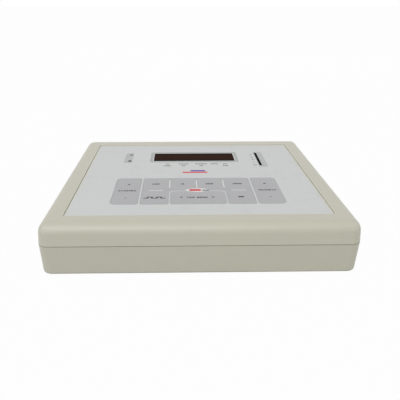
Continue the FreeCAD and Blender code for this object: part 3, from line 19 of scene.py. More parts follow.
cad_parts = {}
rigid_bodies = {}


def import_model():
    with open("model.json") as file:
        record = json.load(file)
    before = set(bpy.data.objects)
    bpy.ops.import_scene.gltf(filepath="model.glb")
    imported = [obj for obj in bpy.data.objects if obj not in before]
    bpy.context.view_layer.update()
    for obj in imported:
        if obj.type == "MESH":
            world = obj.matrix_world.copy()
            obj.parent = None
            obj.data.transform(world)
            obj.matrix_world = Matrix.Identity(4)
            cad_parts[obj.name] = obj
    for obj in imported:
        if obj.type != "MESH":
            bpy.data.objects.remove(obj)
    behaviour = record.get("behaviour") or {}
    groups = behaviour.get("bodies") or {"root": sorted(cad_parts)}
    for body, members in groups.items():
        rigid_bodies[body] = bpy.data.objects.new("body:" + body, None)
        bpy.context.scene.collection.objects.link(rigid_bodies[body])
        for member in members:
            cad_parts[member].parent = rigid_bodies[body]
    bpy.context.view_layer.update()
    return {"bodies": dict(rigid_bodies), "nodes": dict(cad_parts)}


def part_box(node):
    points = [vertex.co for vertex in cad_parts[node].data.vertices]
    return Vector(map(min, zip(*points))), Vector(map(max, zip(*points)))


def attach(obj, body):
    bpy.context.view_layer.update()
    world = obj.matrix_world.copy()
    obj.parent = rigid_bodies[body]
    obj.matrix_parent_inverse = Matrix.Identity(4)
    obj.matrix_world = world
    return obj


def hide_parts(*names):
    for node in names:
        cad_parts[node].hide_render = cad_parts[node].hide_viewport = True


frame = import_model()

LOG = logging.getLogger("audiometer")
MM = 0.001
SAME_PLACE = 1e-6
Colour = tuple[int, int, int]
Point = tuple[float, float, float]
Pair = tuple[float, float]
Area = tuple[float, float, float, float]
Bar = tuple[float, float, float, float]


def linear(colour: Colour, factor: float = 1.0) -> tuple[float, float, float, float]:
    """Turn a display colour into the linear colour that a shader takes.

    Args:
        colour: Red, green and blue, from 0 to 255.
        factor: How much lighter or darker the linear colour becomes.

    Returns:
        Linear red, green and blue, and an alpha of 1.
    """
    shares = [channel / 255 for channel in colour]
    curve = [share / 12.92 if share <= 0.04045 else ((share + 0.055) / 1.055) ** 2.4 for share in shares]
    return (*(min(1.0, factor * value) for value in curve), 1.0)


# ---------------------------------------------------------------- shader graphs

class Term:
    """A value in a shader; arithmetic on it adds Math nodes."""

    def __init__(self, graph: "Nodes", socket: bpy.types.NodeSocket) -> None:
        """Wrap an output socket of a graph."""
        self.graph = graph
        self.socket = socket

    def __add__(self, other: "Value") -> "Term":
        """Add."""
        return self.graph.math("ADD", self, other)

    def __radd__(self, other: "Value") -> "Term":
        """Add, with the number first."""
        return self.graph.math("ADD", other, self)

    def __sub__(self, other: "Value") -> "Term":
        """Subtract."""
        return self.graph.math("SUBTRACT", self, other)

    def __rsub__(self, other: "Value") -> "Term":
        """Subtract from a number."""
        return self.graph.math("SUBTRACT", other, self)

    def __mul__(self, other: "Value") -> "Term":
        """Multiply."""
        return self.graph.math("MULTIPLY", self, other)

    def __rmul__(self, other: "Value") -> "Term":
        """Multiply, with the number first."""
        return self.graph.math("MULTIPLY", other, self)

    def __truediv__(self, other: "Value") -> "Term":
        """Divide."""
        return self.graph.math("DIVIDE", self, other)

    def __pow__(self, other: "Value") -> "Term":
        """Raise to a power."""
        return self.graph.math("POWER", self, other)

    def __mod__(self, other: "Value") -> "Term":
        """Take the rest of a division, never negative."""
        return self.graph.math("FLOORED_MODULO", self, other)

    def __lt__(self, other: "Value") -> "Term":
        """Give 1 where this is less than the other."""
        return self.graph.math("LESS_THAN", self, other)

    def __gt__(self, other: "Value") -> "Term":
        """Give 1 where this is more than the other."""
        return self.graph.math("GREATER_THAN", self, other)

    def __abs__(self) -> "Term":
        """Drop the sign."""
        return self.graph.math("ABSOLUTE", self)

    def root(self) -> "Term":
        """Take the square root."""
        return self.graph.math("SQRT", self)

    def at_least(self, other: "Value") -> "Term":
        """Return the larger of the two."""
        return self.graph.math("MAXIMUM", self, other)

    def at_most(self, other: "Value") -> "Term":
        """Return the smaller of the two."""
        return self.graph.math("MINIMUM", self, other)


Value = Term | float


class Nodes:
    """A node tree, and the one method that adds nodes to it."""

    def __init__(self, tree: bpy.types.NodeTree) -> None:
        """Hold the tree."""
        self.tree = tree

    def add(self, kind: str, settings: dict | None = None, values: dict | None = None) -> bpy.types.Node:
        """Add a node.

        Args:
            kind: Type of the node.
            settings: Properties of the node, set first.
            values: Values, terms or sockets for its inputs, by name or number.

        Returns:
            The new node.
        """
        node = self.tree.nodes.new(kind)
        for name, setting in (settings or {}).items():
            setattr(node, name, setting)
        for key, value in (values or {}).items():
            self.plug(node.inputs[key], value)
        return node

    def plug(self, target: bpy.types.NodeSocket, value: "Value | bpy.types.NodeSocket | tuple") -> None:
        """Link a term or socket to an input, or set the input's own value.

        Args:
            target: The input.
            value: The term, the socket or the plain value.
        """
        source = value.socket if isinstance(value, Term) else value
        if isinstance(source, bpy.types.NodeSocket):
            self.tree.links.new(source, target)
        else:
            target.default_value = source

    def math(self, operation: str, first: Value, second: Value = 0.0, clamp: bool = False) -> Term:
        """Add one Math node and return its result."""
        node = self.add("ShaderNodeMath", {"operation": operation, "use_clamp": clamp},
                        {0: first, 1: second})
        return Term(self, node.outputs[0])


class Graph(Nodes):
    """The node tree of one material, with a Principled shader as its surface."""

    def __init__(self, name: str) -> None:
        """Start an empty material.

        Args:
            name: Name of the material.
        """
        self.material = bpy.data.materials.new(name)
        self.material.use_nodes = True
        super().__init__(self.material.node_tree)
        self.tree.nodes.clear()
        self.shader = self.add("ShaderNodeBsdfPrincipled")
        self.output = self.add("ShaderNodeOutputMaterial", values={"Surface": self.shader.outputs["BSDF"]})
        self.coordinates = self.add("ShaderNodeTexCoord").outputs["Object"]

    def blend(self, share: Value, first: "tuple | bpy.types.NodeSocket",
              second: "tuple | bpy.types.NodeSocket") -> bpy.types.NodeSocket:
        """Mix two colours; a share of 1 gives the second."""
        node = self.add("ShaderNodeMix", {"data_type": "RGBA"}, {0: share, 6: first, 7: second})
        return node.outputs[2]

    def place(self) -> tuple[Term, Term, Term]:
        """Return the place on the piece in millimetres of the part's frame."""
        node = self.add("ShaderNodeSeparateXYZ", values={0: self.coordinates})
        return tuple(Term(self, output) / MM for output in node.outputs)

    def noise(self, size: float, detail: float = 2.0, stretch: Point = (1.0, 1.0, 1.0)) -> Term:
        """Return soft noise from 0 to 1.

        Args:
            size: Size of its largest features.
            detail: How many finer layers are added.
            stretch: How many times longer the features are along each axis.

        Returns:
            The noise.
        """
        vector = self.add("ShaderNodeMapping", {"vector_type": "TEXTURE"},
                          {"Vector": self.coordinates, "Scale": stretch}).outputs[0]
        node = self.add("ShaderNodeTexNoise", values={"Vector": vector, "Scale": 1 / (size * MM),
                                                      "Detail": detail})
        return Term(self, node.outputs[0])

    def cells(self, size: float) -> Term:
        """Return the distance to the nearest of many scattered points, 0 at each of them."""
        node = self.add("ShaderNodeTexVoronoi", values={"Vector": self.coordinates, "Scale": 1 / (size * MM)})
        return Term(self, node.outputs["Distance"])

    def roughen(self, height: Term, depth: float, strength: float = 1.0) -> None:
        """Bump the surface by a height from 0 to 1, depth millimetres deep."""
        node = self.add("ShaderNodeBump", values={"Strength": strength, "Distance": depth * MM,
                                                  "Height": height})
        self.plug(self.shader.inputs["Normal"], node.outputs[0])

    def surface(self, **values: "Value | bpy.types.NodeSocket | tuple") -> bpy.types.Material:
        """Set inputs of the shader.

        Args:
            values: Values, terms or sockets by input, an underscore in a name standing for a space.

        Returns:
            The material.
        """
        for name, value in values.items():
            self.plug(self.shader.inputs[name.replace("_", " ")], value)
        return self.material

    def rounded_box(self, x: Term, y: Term, area: Area, radius: Value) -> Term:
        """Return the distance outside a rectangle with round corners.

        Args:
            x: Place across.
            y: Place along.
            area: Left, right, front and rear of the rectangle.
            radius: Radius of its corners.

        Returns:
            The distance, negative inside.
        """
        left, right, front, rear = area
        across = abs(x - (left + right) / 2) - ((right - left) / 2 - radius)
        along = abs(y - (front + rear) / 2) - ((rear - front) / 2 - radius)
        outside = (across.at_least(0.0) ** 2.0 + along.at_least(0.0) ** 2.0).root()
        return outside + across.at_least(along).at_most(0.0) - radius

    def capsule(self, along: Term, across: Term, half: float, width: float) -> Term:
        """Return the distance outside a straight line with round ends, about the origin of its terms."""
        beyond = (abs(along) - (half - width / 2)).at_least(0.0)
        return (beyond ** 2.0 + across ** 2.0).root() - width / 2

    def inside(self, distance: Term, softness: float = 0.12) -> Term:
        """Return 1 inside a shape and 0 outside it, with a soft edge."""
        return self.math("SUBTRACT", 0.5, distance / softness, clamp=True)


# ---------------------------------------------------------------- finishes

@dataclass(frozen=True)
class Plastic:
    """Moulded plastic with a fine eroded texture and slight unevenness of colour.

    Attributes:
        name: Name of the finish.
        colour: Its colour.
        roughness: How matt it is.
        grain: Size of the texture.
        depth: Depth of the texture.
        mottle: How far the colour strays, as a share.
        coat: Share of clear gloss over it.
    """

    name: str
    colour: Colour
    roughness: float = 0.5
    grain: float = 0.5
    depth: float = 0.02
    mottle: float = 0.04
    coat: float = 0.0

    def make(self) -> bpy.types.Material:
        """Make the material.

        Returns:
            The material.
        """
        graph = Graph(self.name)
        cloud = graph.noise(self.grain * 60, 3.0)
        fine = graph.noise(self.grain, 3.0)
        tint = graph.blend(cloud * 0.7 + fine * 0.3, linear(self.colour, 1 - self.mottle),
                           linear(self.colour, 1 + self.mottle))
        graph.roughen(fine * 0.6 + graph.cells(self.grain * 1.4) * 0.4, self.depth, 0.7)
        return graph.surface(Base_Color=tint, Roughness=self.roughness + (cloud - 0.5) * 0.12,
                             Coat_Weight=self.coat, Coat_Roughness=0.15)


@dataclass(frozen=True)
class CasePlastic:
    """Cream plastic of the shells, eroded by its mould, with dust and painted shade along the seam, painted
    shade towards the sole, and a painted highlight on the recess walls round the panel.

    Attributes:
        name: Name of the finish.
        colour: Its colour.
        seam: Height of the seam.
        sole: Height of the underside.
        rim: Height of the rim.
        panel: Left, right, front and rear limit of the panel in its recess.
        edge: Width of the band round the panel, over the recess walls and their rounded edge, that carries a
            painted highlight.
        yellowing: How much red, green and blue the plastic has lost with age.
        dirt: Colour of the dust and painted shade along the seam, and of the painted shade towards the sole.
    """

    name: str
    colour: Colour
    seam: float
    sole: float
    rim: float
    panel: Area
    edge: float = 0.75
    yellowing: Colour = (0, 3, 12)
    dirt: Colour = (126, 120, 104)

    def make(self) -> bpy.types.Material:
        """Make the material.

        Returns:
            The material.
        """
        graph = Graph(self.name)
        x, y, z = graph.place()
        cloud = graph.noise(45.0, 3.0)
        fine = graph.noise(0.6, 3.0)
        tint = graph.blend(cloud * 0.75 + fine * 0.25, linear(self.colour, 0.965), linear(self.colour, 1.035))
        aged = tuple(channel - drop for channel, drop in zip(self.colour, self.yellowing))
        yellowed = graph.blend((graph.noise(90.0, 2.0) - 0.35).at_least(0.0) * 0.5, tint, linear(aged))
        left, right, front, rear = self.panel
        recess = (left - self.edge, right + self.edge, front - self.edge, rear + self.edge)
        # Painted highlight: the recess walls and their rounded edge round the panel are painted a fifth
        # paler, unevenly.
        recess_light = graph.inside(graph.rounded_box(x, y, recess, 2.0), 0.2)
        with_recess_light = graph.blend(recess_light * (0.8 + graph.noise(12.0, 3.0) * 0.4), yellowed,
                              linear(self.colour, 1.2))
        # Dust and painted shade: darker in a band along the seam.
        dust = graph.inside(abs(z - self.seam) - 0.35, 0.5) * (0.3 + graph.noise(7.0, 3.0) * 0.3)
        # Painted shade: darker towards the sole, unevenly.
        sole_shade = graph.inside(z - self.sole - 1.3, 1.2) * (0.45 + graph.noise(5.0, 4.0) * 0.6)
        dusted_and_shaded = graph.blend(dust.at_least(sole_shade), with_recess_light, linear(self.dirt))
        graph.roughen(fine * 0.55 + graph.cells(0.8) * 0.45, 0.022, 0.7)
        polish = graph.inside(self.rim - z - 0.15, 0.3) * 0.05
        return graph.surface(Base_Color=dusted_and_shaded, Roughness=0.38 + (cloud - 0.5) * 0.12 - polish)


@dataclass(frozen=True)
class Metal:
    """Plated or drawn metal, finely streaked along one axis.

    Attributes:
        name: Name of the finish.
        colour: Its colour.
        roughness: How matt it is.
        streak: How many times longer its scratches are along each axis.
    """

    name: str
    colour: Colour
    roughness: float = 0.3
    streak: Point = (1.0, 6.0, 1.0)

    def make(self) -> bpy.types.Material:
        """Make the material.

        Returns:
            The material.
        """
        graph = Graph(self.name)
        scratch = graph.noise(0.15, 4.0, self.streak)
        stain = graph.noise(4.0, 3.0)
        tint = graph.blend(stain, linear(self.colour, 0.82), linear(self.colour, 1.06))
        graph.roughen(scratch, 0.004, 0.6)
        return graph.surface(Base_Color=tint, Metallic=1.0,
                             Roughness=self.roughness + (scratch - 0.5) * 0.16 + (stain - 0.5) * 0.1)


@dataclass(frozen=True)
class Rubber:
    """Soft black rubber, dusty in its texture.

    Attributes:
        name: Name of the finish.
        colour: Its colour.
        dust: Colour of the dust in its texture.
    """

    name: str
    colour: Colour
    dust: Colour = (120, 116, 108)

    def make(self) -> bpy.types.Material:
        """Make the material.

        Returns:
            The material.
        """
        graph = Graph(self.name)
        grain = graph.noise(0.35, 4.0)
        dust = graph.noise(5.0, 4.0) ** 3.0
        tint = graph.blend(dust, linear(self.colour), linear(self.dust))
        graph.roughen(grain, 0.03)
        return graph.surface(Base_Color=tint, Roughness=0.75 + grain * 0.2)


@dataclass(frozen=True)
class BoardLacquer:
    """Green solder resist over copper tracks, with tinned pads and painted shade in their holes.

    Attributes:
        name: Name of the finish.
        colour: Colour of the lacquer.
        pitch: Distance between tracks.
        track: Half the width of a track.
        pad: Radius of a pad.
        hole: Radius of the hole in a pad.
        tin: Colour of the pads.
        depth: Colour of the painted shade inside a hole.
    """

    name: str
    colour: Colour
    pitch: float = 2.54
    track: float = 0.3
    pad: float = 0.7
    hole: float = 0.35
    tin: Colour = (205, 205, 198)
    depth: Colour = (20, 18, 15)

    def make(self) -> bpy.types.Material:
        """Make the material.

        Returns:
            The material.
        """
        graph = Graph(self.name)
        x, y, _z = graph.place()
        along_x = graph.noise(18.0, 0.0) > 0.5
        across = y * along_x + x * (1 - along_x)
        track = abs(across % self.pitch - self.pitch / 2) < self.track
        pad_x = abs((x + self.pitch / 2) % (2 * self.pitch) - self.pitch)
        pad_y = abs((y + self.pitch / 2) % (2 * self.pitch) - self.pitch)
        spot = (pad_x ** 2.0 + pad_y ** 2.0).root()
        has_pad = (graph.noise(9.0, 0.0) > 0.55) * (spot < self.pad)
        # Painted shade: the holes in some pads are painted almost black.
        hole_shade = has_pad * (spot < self.hole)
        lacquer = graph.blend(track, linear(self.colour, 0.8), linear(self.colour, 1.35))
        tinned = graph.blend(has_pad, lacquer, linear(self.tin))
        tint = graph.blend(hole_shade, tinned, linear(self.depth))
        graph.roughen(track * 0.6 + has_pad * 0.4, 0.04, 0.6)
        return graph.surface(Base_Color=tint, Metallic=has_pad * (1 - hole_shade),
                             Roughness=0.32 + graph.noise(3.0) * 0.12)


@dataclass(frozen=True)
class Ink:
    """Screen-printed ink, slightly uneven.

    Attributes:
        name: Name of the finish.
        colour: Its colour.
    """

    name: str
    colour: Colour

    def make(self) -> bpy.types.Material:
        """Make the material.

        Returns:
            The material.
        """
        graph = Graph(self.name)
        cloud = graph.noise(0.8, 3.0)
        tint = graph.blend(cloud, linear(self.colour, 0.85), linear(self.colour, 1.25))
        graph.roughen(graph.noise(0.1), 0.003)
        return graph.surface(Base_Color=tint, Roughness=0.5 + cloud * 0.15)


@dataclass(frozen=True)
class Lens:
    """Tinted clear plastic of a lamp that isn't lit.

    Attributes:
        name: Name of the finish.
        colour: Its colour.
        roughness: How frosted it is.
        shine: Index of refraction of its surface, lower for a dull one.
    """

    name: str
    colour: Colour
    roughness: float = 0.2
    shine: float = 1.5

    def make(self) -> bpy.types.Material:
        """Make the material.

        Returns:
            The material.
        """
        graph = Graph(self.name)
        depth = graph.noise(1.2, 2.0)
        tint = graph.blend(depth, linear(self.colour, 0.75), linear(self.colour, 1.25))
        graph.roughen(graph.noise(0.2), 0.004)
        return graph.surface(Base_Color=tint, Roughness=self.roughness + depth * 0.1, IOR=self.shine)


@dataclass(frozen=True)
class SmokedDisplay:
    """Smoked window of a character display: a dark border round two dim rows of character cells.

    Attributes:
        name: Name of the finish.
        middle: Middle of the window, across and along.
        view: Width and depth of the lit area behind it.
        columns: Characters in a row.
        cell: Width and height of one character.
        pitch: Distance between characters, across and along.
        glow: Colour of the lit area.
        border: Colour of the dark surround: the bezel's black with painted shade of the recess behind the
            window.
    """

    name: str
    middle: Pair
    view: Pair
    columns: int = 16
    cell: Pair = (4.8, 8.1)
    pitch: Pair = (5.95, 9.7)
    glow: Colour = (48, 28, 20)
    border: Colour = (22, 16, 14)

    def make(self) -> bpy.types.Material:
        """Make the material.

        Returns:
            The material.
        """
        graph = Graph(self.name)
        place_x, place_y, _z = graph.place()
        x, y = place_x - self.middle[0], place_y - self.middle[1]
        half_x, half_y = self.view[0] / 2, self.view[1] / 2
        lit = graph.inside(graph.rounded_box(x, y, (-half_x, half_x, -half_y, half_y), 0.6), 0.5)
        cell_x = abs(x % self.pitch[0] - self.pitch[0] / 2) < self.cell[0] / 2
        cell_y = abs(y % self.pitch[1] - self.pitch[1] / 2) < self.cell[1] / 2
        rows = (abs(x) < self.columns / 2 * self.pitch[0]) * (abs(y) < self.pitch[1])
        cells = cell_x * cell_y * rows
        uneven = graph.noise(40.0, 2.0)
        back = graph.blend(uneven, linear(self.glow, 0.8), linear(self.glow, 1.2))
        dim = graph.blend(cells * 0.5, back, linear(self.glow, 0.72))
        # The dark surround is the bezel's black with painted shade of the recess behind the window.
        tint = graph.blend(lit, linear(self.border), dim)
        graph.roughen(graph.noise(0.6, 3.0), 0.003, 0.5)
        return graph.surface(Base_Color=tint, Roughness=0.3 + graph.noise(6.0, 4.0) * 0.12, IOR=1.035)


@dataclass(frozen=True)
class KeypadFilm:
    """Printed film of the front: grey key fields with light lines on a light ground.

    Places across are measured from the middle of the controls, but the film's own edges aren't.

    Attributes:
        name: Name of the finish.
        middle: Middle of the controls, across the part.
        ground: Colour of the film.
        light: Colour of the separators and of the band round the display.
        margin: Colour of the bare edge of the film.
        field_grey: Colour of the key fields.
        fine_grey: Colour of the small fields beside the display.
        line_grey: Colour of the thin line round the display.
        red: Colour of the bar on the almond-shaped patch.
        dark_grey: Colour of the short bar beside it.
        ring_black: Colour of the ring round the microphone.
        worn: Colour where hands have worn the film.
        block: Half the width of the middle block of keys.
        side: Inner and outer edge of the outer fields.
        span: Front and rear edge of all key fields.
        line: Width of the light lines.
        step_half: Half the width of the frequency field.
        step_rear: Rear edge of the frequency field.
        corner: Corner radius of the fields.
        upper_lines: Middle along, and half the length, of the lines between the upper keys.
        lower_lines: Place across, middle along and half the length of the lines between the lower fields.
        almond: Middle along, distance of its two arcs' centres from there, and their radius.
        display: Half the width, and the front and rear edge of the display window.
        band: Width of the light band round the display.
        outline: Distance of the thin line round the display from it.
        indicator_field: Left, right, front and rear edge of the small field on the left.
        meter_field: The same of the small field on the right.
        red_bar: Middle across and along, half the length and the width of the red bar.
        grey_bar: The same of the dark grey bar.
        sound_hole: Place and radius of the dark ring round the microphone.
        edges: Left, right, front and rear edge of the film.
        bare: Width of its bare edge.
    """

    name: str
    middle: float
    ground: Colour = (203, 205, 204)
    light: Colour = (222, 224, 222)
    margin: Colour = (210, 209, 200)
    field_grey: Colour = (172, 172, 174)
    fine_grey: Colour = (178, 180, 180)
    line_grey: Colour = (166, 170, 167)
    red: Colour = (204, 52, 66)
    dark_grey: Colour = (64, 64, 70)
    ring_black: Colour = (30, 30, 32)
    worn: Colour = (150, 148, 142)
    block: float = 57.6
    side: Pair = (59.0, 86.9)
    span: Pair = (-80.55, -13.35)
    line: float = 1.25
    step_half: float = 28.1
    step_rear: float = -49.05
    corner: float = 3.0
    upper_lines: Pair = (-30.0, 10.6)
    lower_lines: Point = (43.2, -47.1, 7.7)
    almond: Point = (-46.5, 15.4, 20.0)
    display: Point = (49.8, 42.0, 70.5)
    band: float = 0.8
    outline: float = 4.4
    indicator_field: Area = (-86.0, -76.0, 36.5, 72.1)
    meter_field: Area = (76.6, 87.4, 20.7, 75.0)
    red_bar: Bar = (-2.2, -46.4, 6.4, 4.8)
    grey_bar: Bar = (8.6, -47.0, 3.9, 2.4)
    sound_hole: Point = (-79.2, 43.05, 2.3)
    edges: Area = (-124.7, 124.7, -104.7, 104.7)
    bare: float = 1.8

    def key_fields(self, graph: Graph, x: Term, y: Term) -> Term:
        """Return how far outside the grey key fields a place lies.

        Args:
            graph: Graph of the material.
            x: Place across.
            y: Place along.

        Returns:
            The distance, negative inside.
        """
        front, rear = self.span
        mirrored = abs(x)
        row_line = (front + rear) / 2
        outer = mirrored > sum(self.side) / 2
        side_radius = self.corner + outer * (2.0 + (y < row_line) * 1.5)
        side_field = graph.rounded_box(mirrored, y, (*self.side, front, rear), side_radius)
        upper = graph.rounded_box(x, y, (-self.block, self.block, row_line - 3, rear), self.corner)
        lower = graph.rounded_box(mirrored, y, (self.step_half + self.line, self.block, front, row_line + 6),
                                  self.corner)
        step_radius = self.corner + (y > (front + self.step_rear) / 2) * 3.0
        step = graph.rounded_box(x, y, (-self.step_half, self.step_half, front, self.step_rear), step_radius)
        around = upper.at_most(lower).at_least(self.line - step)
        return step.at_most(around).at_most(side_field)

    def light_lines(self, graph: Graph, x: Term, y: Term) -> Term:
        """Return how far a place lies outside the separators, the almond and the display's band.

        Args:
            graph: Graph of the material.
            x: Place across.
            y: Place along.

        Returns:
            The distance, negative inside.
        """
        mirrored = abs(x)
        row, half = self.upper_lines
        dividers = graph.capsule(y - row, x, half, self.line).at_most(
            graph.capsule(y - row, mirrored - self.block / 2, half, self.line))
        across, row, half = self.lower_lines
        between_rows = graph.capsule(mirrored - across, y - row, half, self.line)
        row, offset, radius = self.almond
        almond = (x ** 2.0 + (abs(y - row) + offset) ** 2.0).root() - radius
        band = self.around_display(graph, x, y, self.band)
        return dividers.at_most(between_rows).at_most(almond).at_most(band)

    def around_display(self, graph: Graph, x: Term, y: Term, margin: float) -> Term:
        """Return how far outside a rounded rectangle round the display a place lies."""
        half, front, rear = self.display
        return graph.rounded_box(x, y, (-half - margin, half + margin, front - margin, rear + margin),
                                 0.8 + margin * 0.5)

    def small_fields(self, graph: Graph, x: Term, y: Term) -> Term:
        """Return how far outside the small grey fields beside the display a place lies.

        Args:
            graph: Graph of the material.
            x: Place across.
            y: Place along.

        Returns:
            The distance, negative inside.
        """
        left, right, front, rear = self.indicator_field
        corner = 1.0 + (x < (left + right) / 2) * (y > (front + rear) / 2) * 4.0
        indicator = graph.rounded_box(x, y, self.indicator_field, corner)
        meter_corner = 0.6 + (x > sum(self.meter_field[:2]) / 2) * 2.4
        return indicator.at_most(graph.rounded_box(x, y, self.meter_field, meter_corner))

    @staticmethod
    def bar(graph: Graph, x: Term, y: Term, bar: Bar) -> Term:
        """Return 1 on a bar with round ends, which is given as the fields give it."""
        across, along, half, width = bar
        return graph.inside(graph.capsule(x - across, y - along, half, width))

    def make(self) -> bpy.types.Material:
        """Make the material.

        Returns:
            The material.
        """
        graph = Graph(self.name)
        place_x, y, _z = graph.place()
        x = place_x - self.middle
        cloud = graph.noise(35.0, 3.0)
        ground = graph.blend(cloud, linear(self.ground, 0.97), linear(self.ground, 1.03))
        grey = graph.blend(cloud, linear(self.field_grey, 0.97), linear(self.field_grey, 1.03))
        across, along, radius = self.sound_hole
        ring = ((x - across) ** 2.0 + (abs(y - along)) ** 2.0).root() - radius
        outline = graph.inside(self.around_display(graph, x, y, self.outline), 0.3)
        film = graph.rounded_box(place_x, y, self.edges, 1.0)
        tint = graph.blend(graph.inside(self.key_fields(graph, x, y)), ground, grey)
        for share, colour in ((graph.inside(self.small_fields(graph, x, y)), self.fine_grey),
                              (outline, self.line_grey),
                              (graph.inside(self.light_lines(graph, x, y)), self.light),
                              (self.bar(graph, x, y, self.red_bar), self.red),
                              (self.bar(graph, x, y, self.grey_bar), self.dark_grey),
                              (graph.inside(ring), self.ring_black),
                              (1 - graph.inside(film + self.bare, 0.8), self.margin),
                              ((graph.noise(14.0, 5.0) - 0.55).at_least(0.0) * 0.5, self.worn)):
            tint = graph.blend(share, tint, linear(colour))
        graph.roughen(graph.noise(0.25, 2.0), 0.008, 0.6)
        return graph.surface(Base_Color=tint, Roughness=0.42 + cloud * 0.1)


# ---------------------------------------------------------------- modelling by hand

class Axis(Enum):
    """Axis that a round piece stands along."""

    X = (0.0, math.pi / 2, 0.0)
    Y = (-math.pi / 2, 0.0, 0.0)
    Z = (0.0, 0.0, 0.0)

    @property
    def index(self) -> int:
        """Return the number of the axis in a vector."""
        return "XYZ".index(self.name)


Test = Callable[[Vector, Vector], bool]


def deselect() -> None:
    """Deselect every object."""
    bpy.ops.object.select_all(action="DESELECT")


class Piece:
    """One mesh under construction, in metres of the part's frame."""

    def __init__(self, name: str) -> None:
        """Take over the primitive that was just added.

        Args:
            name: Name of the piece.
        """
        self.thing = bpy.context.object
        self.thing.name = name
        self.thing.data.name = name
        bpy.ops.object.transform_apply(location=True, rotation=True, scale=True)

    @classmethod
    def box(cls, name: str, low: Vector, high: Vector) -> "Piece":
        """Start from a box.

        Args:
            name: Name of the piece.
            low: Its lowest corner.
            high: Its highest corner.

        Returns:
            The piece.
        """
        deselect()
        bpy.ops.mesh.primitive_cube_add(size=1, location=(low + high) / 2, scale=high - low)
        return cls(name)

    @classmethod
    def round(cls, name: str, centre: Vector, radius: float, length: float, axis: Axis = Axis.Z,
              sides: int = 48) -> "Piece":
        """Start from a cylinder.

        Args:
            name: Name of the piece.
            centre: Its centre.
            radius: Its radius in millimetres.
            length: Its length in millimetres.
            axis: Axis that it stands along.
            sides: Number of its sides.

        Returns:
            The piece.
        """
        deselect()
        bpy.ops.mesh.primitive_cylinder_add(vertices=sides, radius=radius * MM, depth=length * MM,
                                            location=centre, rotation=axis.value)
        return cls(name)

    @classmethod
    def prism(cls, name: str, corners: list[Pair], low: float, height: float) -> "Piece":
        """Start from an outline that is filled and extruded upwards, all in millimetres.

        Args:
            name: Name of the piece.
            corners: Corners of the outline, in order.
            low: Height of its lower face.
            height: Distance from there to its upper face.

        Returns:
            The piece.
        """
        deselect()
        bpy.ops.mesh.primitive_circle_add(vertices=len(corners), radius=MM)
        for vertex, (x, y) in zip(bpy.context.object.data.vertices, corners):
            vertex.co = Vector((x, y, low)) * MM
        piece = cls(name)
        with piece.editing():
            bpy.ops.mesh.select_all(action="SELECT")
            bpy.ops.mesh.edge_face_add()
            bpy.ops.mesh.extrude_region_move(TRANSFORM_OT_translate={"value": (0.0, 0.0, height * MM)})
            bpy.ops.mesh.select_all(action="SELECT")
            bpy.ops.mesh.normals_make_consistent(inside=False)
        return piece

    @contextmanager
    def editing(self) -> Iterator[bmesh.types.BMesh]:
        """Enter edit mode with nothing selected, and leave it at the end.

        Yields:
            The mesh that is being edited.
        """
        bpy.context.view_layer.objects.active = self.thing
        bpy.ops.object.mode_set(mode="EDIT")
        bpy.ops.mesh.select_all(action="DESELECT")
        yield bmesh.from_edit_mesh(self.thing.data)
        bpy.ops.object.mode_set(mode="OBJECT")

    def choose_faces(self, mesh: bmesh.types.BMesh, test: Test) -> None:
        """Select the faces whose middle and normal pass a test.

        Args:
            mesh: The mesh that is being edited.
            test: The test.
        """
        bpy.ops.mesh.select_mode(type="FACE")
        for face in mesh.faces:
            face.select_set(test(face.calc_center_median(), face.normal))
        bmesh.update_edit_mesh(self.thing.data)

    def choose_edges(self, mesh: bmesh.types.BMesh, test: Test) -> None:
        """Select the edges whose two ends pass a test.

        Args:
            mesh: The mesh that is being edited.
            test: The test.
        """
        bpy.ops.mesh.select_mode(type="EDGE")
        for edge in mesh.edges:
            edge.select_set(test(edge.verts[0].co, edge.verts[1].co))
        bmesh.update_edit_mesh(self.thing.data)

    def inset(self, test: Test, margin: float, rise: float = 0.0) -> "Piece":
        """Inset faces.

        Args:
            test: Chooses the faces by their middle and normal.
            margin: How far they shrink, in millimetres.
            rise: How far they move outwards, in millimetres.

        Returns:
            The piece itself.
        """
        with self.editing() as mesh:
            self.choose_faces(mesh, test)
            bpy.ops.mesh.inset(thickness=margin * MM, depth=rise * MM)
        return self

    def bevel(self, test: Test, width: float, segments: int = 3) -> "Piece":
        """Round edges.

        Args:
            test: Chooses the edges by their two ends.
            width: Width of the rounding in millimetres.
            segments: Number of its steps.

        Returns:
            The piece itself.
        """
        with self.editing() as mesh:
            self.choose_edges(mesh, test)
            bpy.ops.mesh.bevel(offset=width * MM, segments=segments, affect="EDGES", clamp_overlap=True)
        return self

    def ring_cuts(self, axis: Axis, places: list[float]) -> "Piece":
        """Cut rings round the piece.

        Args:
            axis: Axis that the rings lie round.
            places: Their places along it, in metres.

        Returns:
            The piece itself.
        """
        normal = tuple(float(number == axis.index) for number in range(3))
        for place in places:
            with self.editing():
                bpy.ops.mesh.select_all(action="SELECT")
                bpy.ops.mesh.bisect(plane_co=tuple(place * share for share in normal), plane_no=normal)
        return self

    def shrink_rings(self, axis: Axis, places: list[float], centre: Vector, factor: float) -> "Piece":
        """Draw rings of corners in towards a centre line.

        Args:
            axis: Axis that the rings lie round.
            places: Their places along it, in metres.
            centre: A point of the centre line.
            factor: Share of its radius that a ring keeps.

        Returns:
            The piece itself.
        """
        value = [factor, factor, factor]
        value[axis.index] = 1.0
        with self.editing() as mesh:
            bpy.ops.mesh.select_mode(type="VERT")
            for vertex in mesh.verts:
                vertex.select_set(any(abs(vertex.co[axis.index] - place) < SAME_PLACE for place in places))
            bmesh.update_edit_mesh(self.thing.data)
            bpy.ops.transform.resize(value=tuple(value), center_override=tuple(centre))
        return self

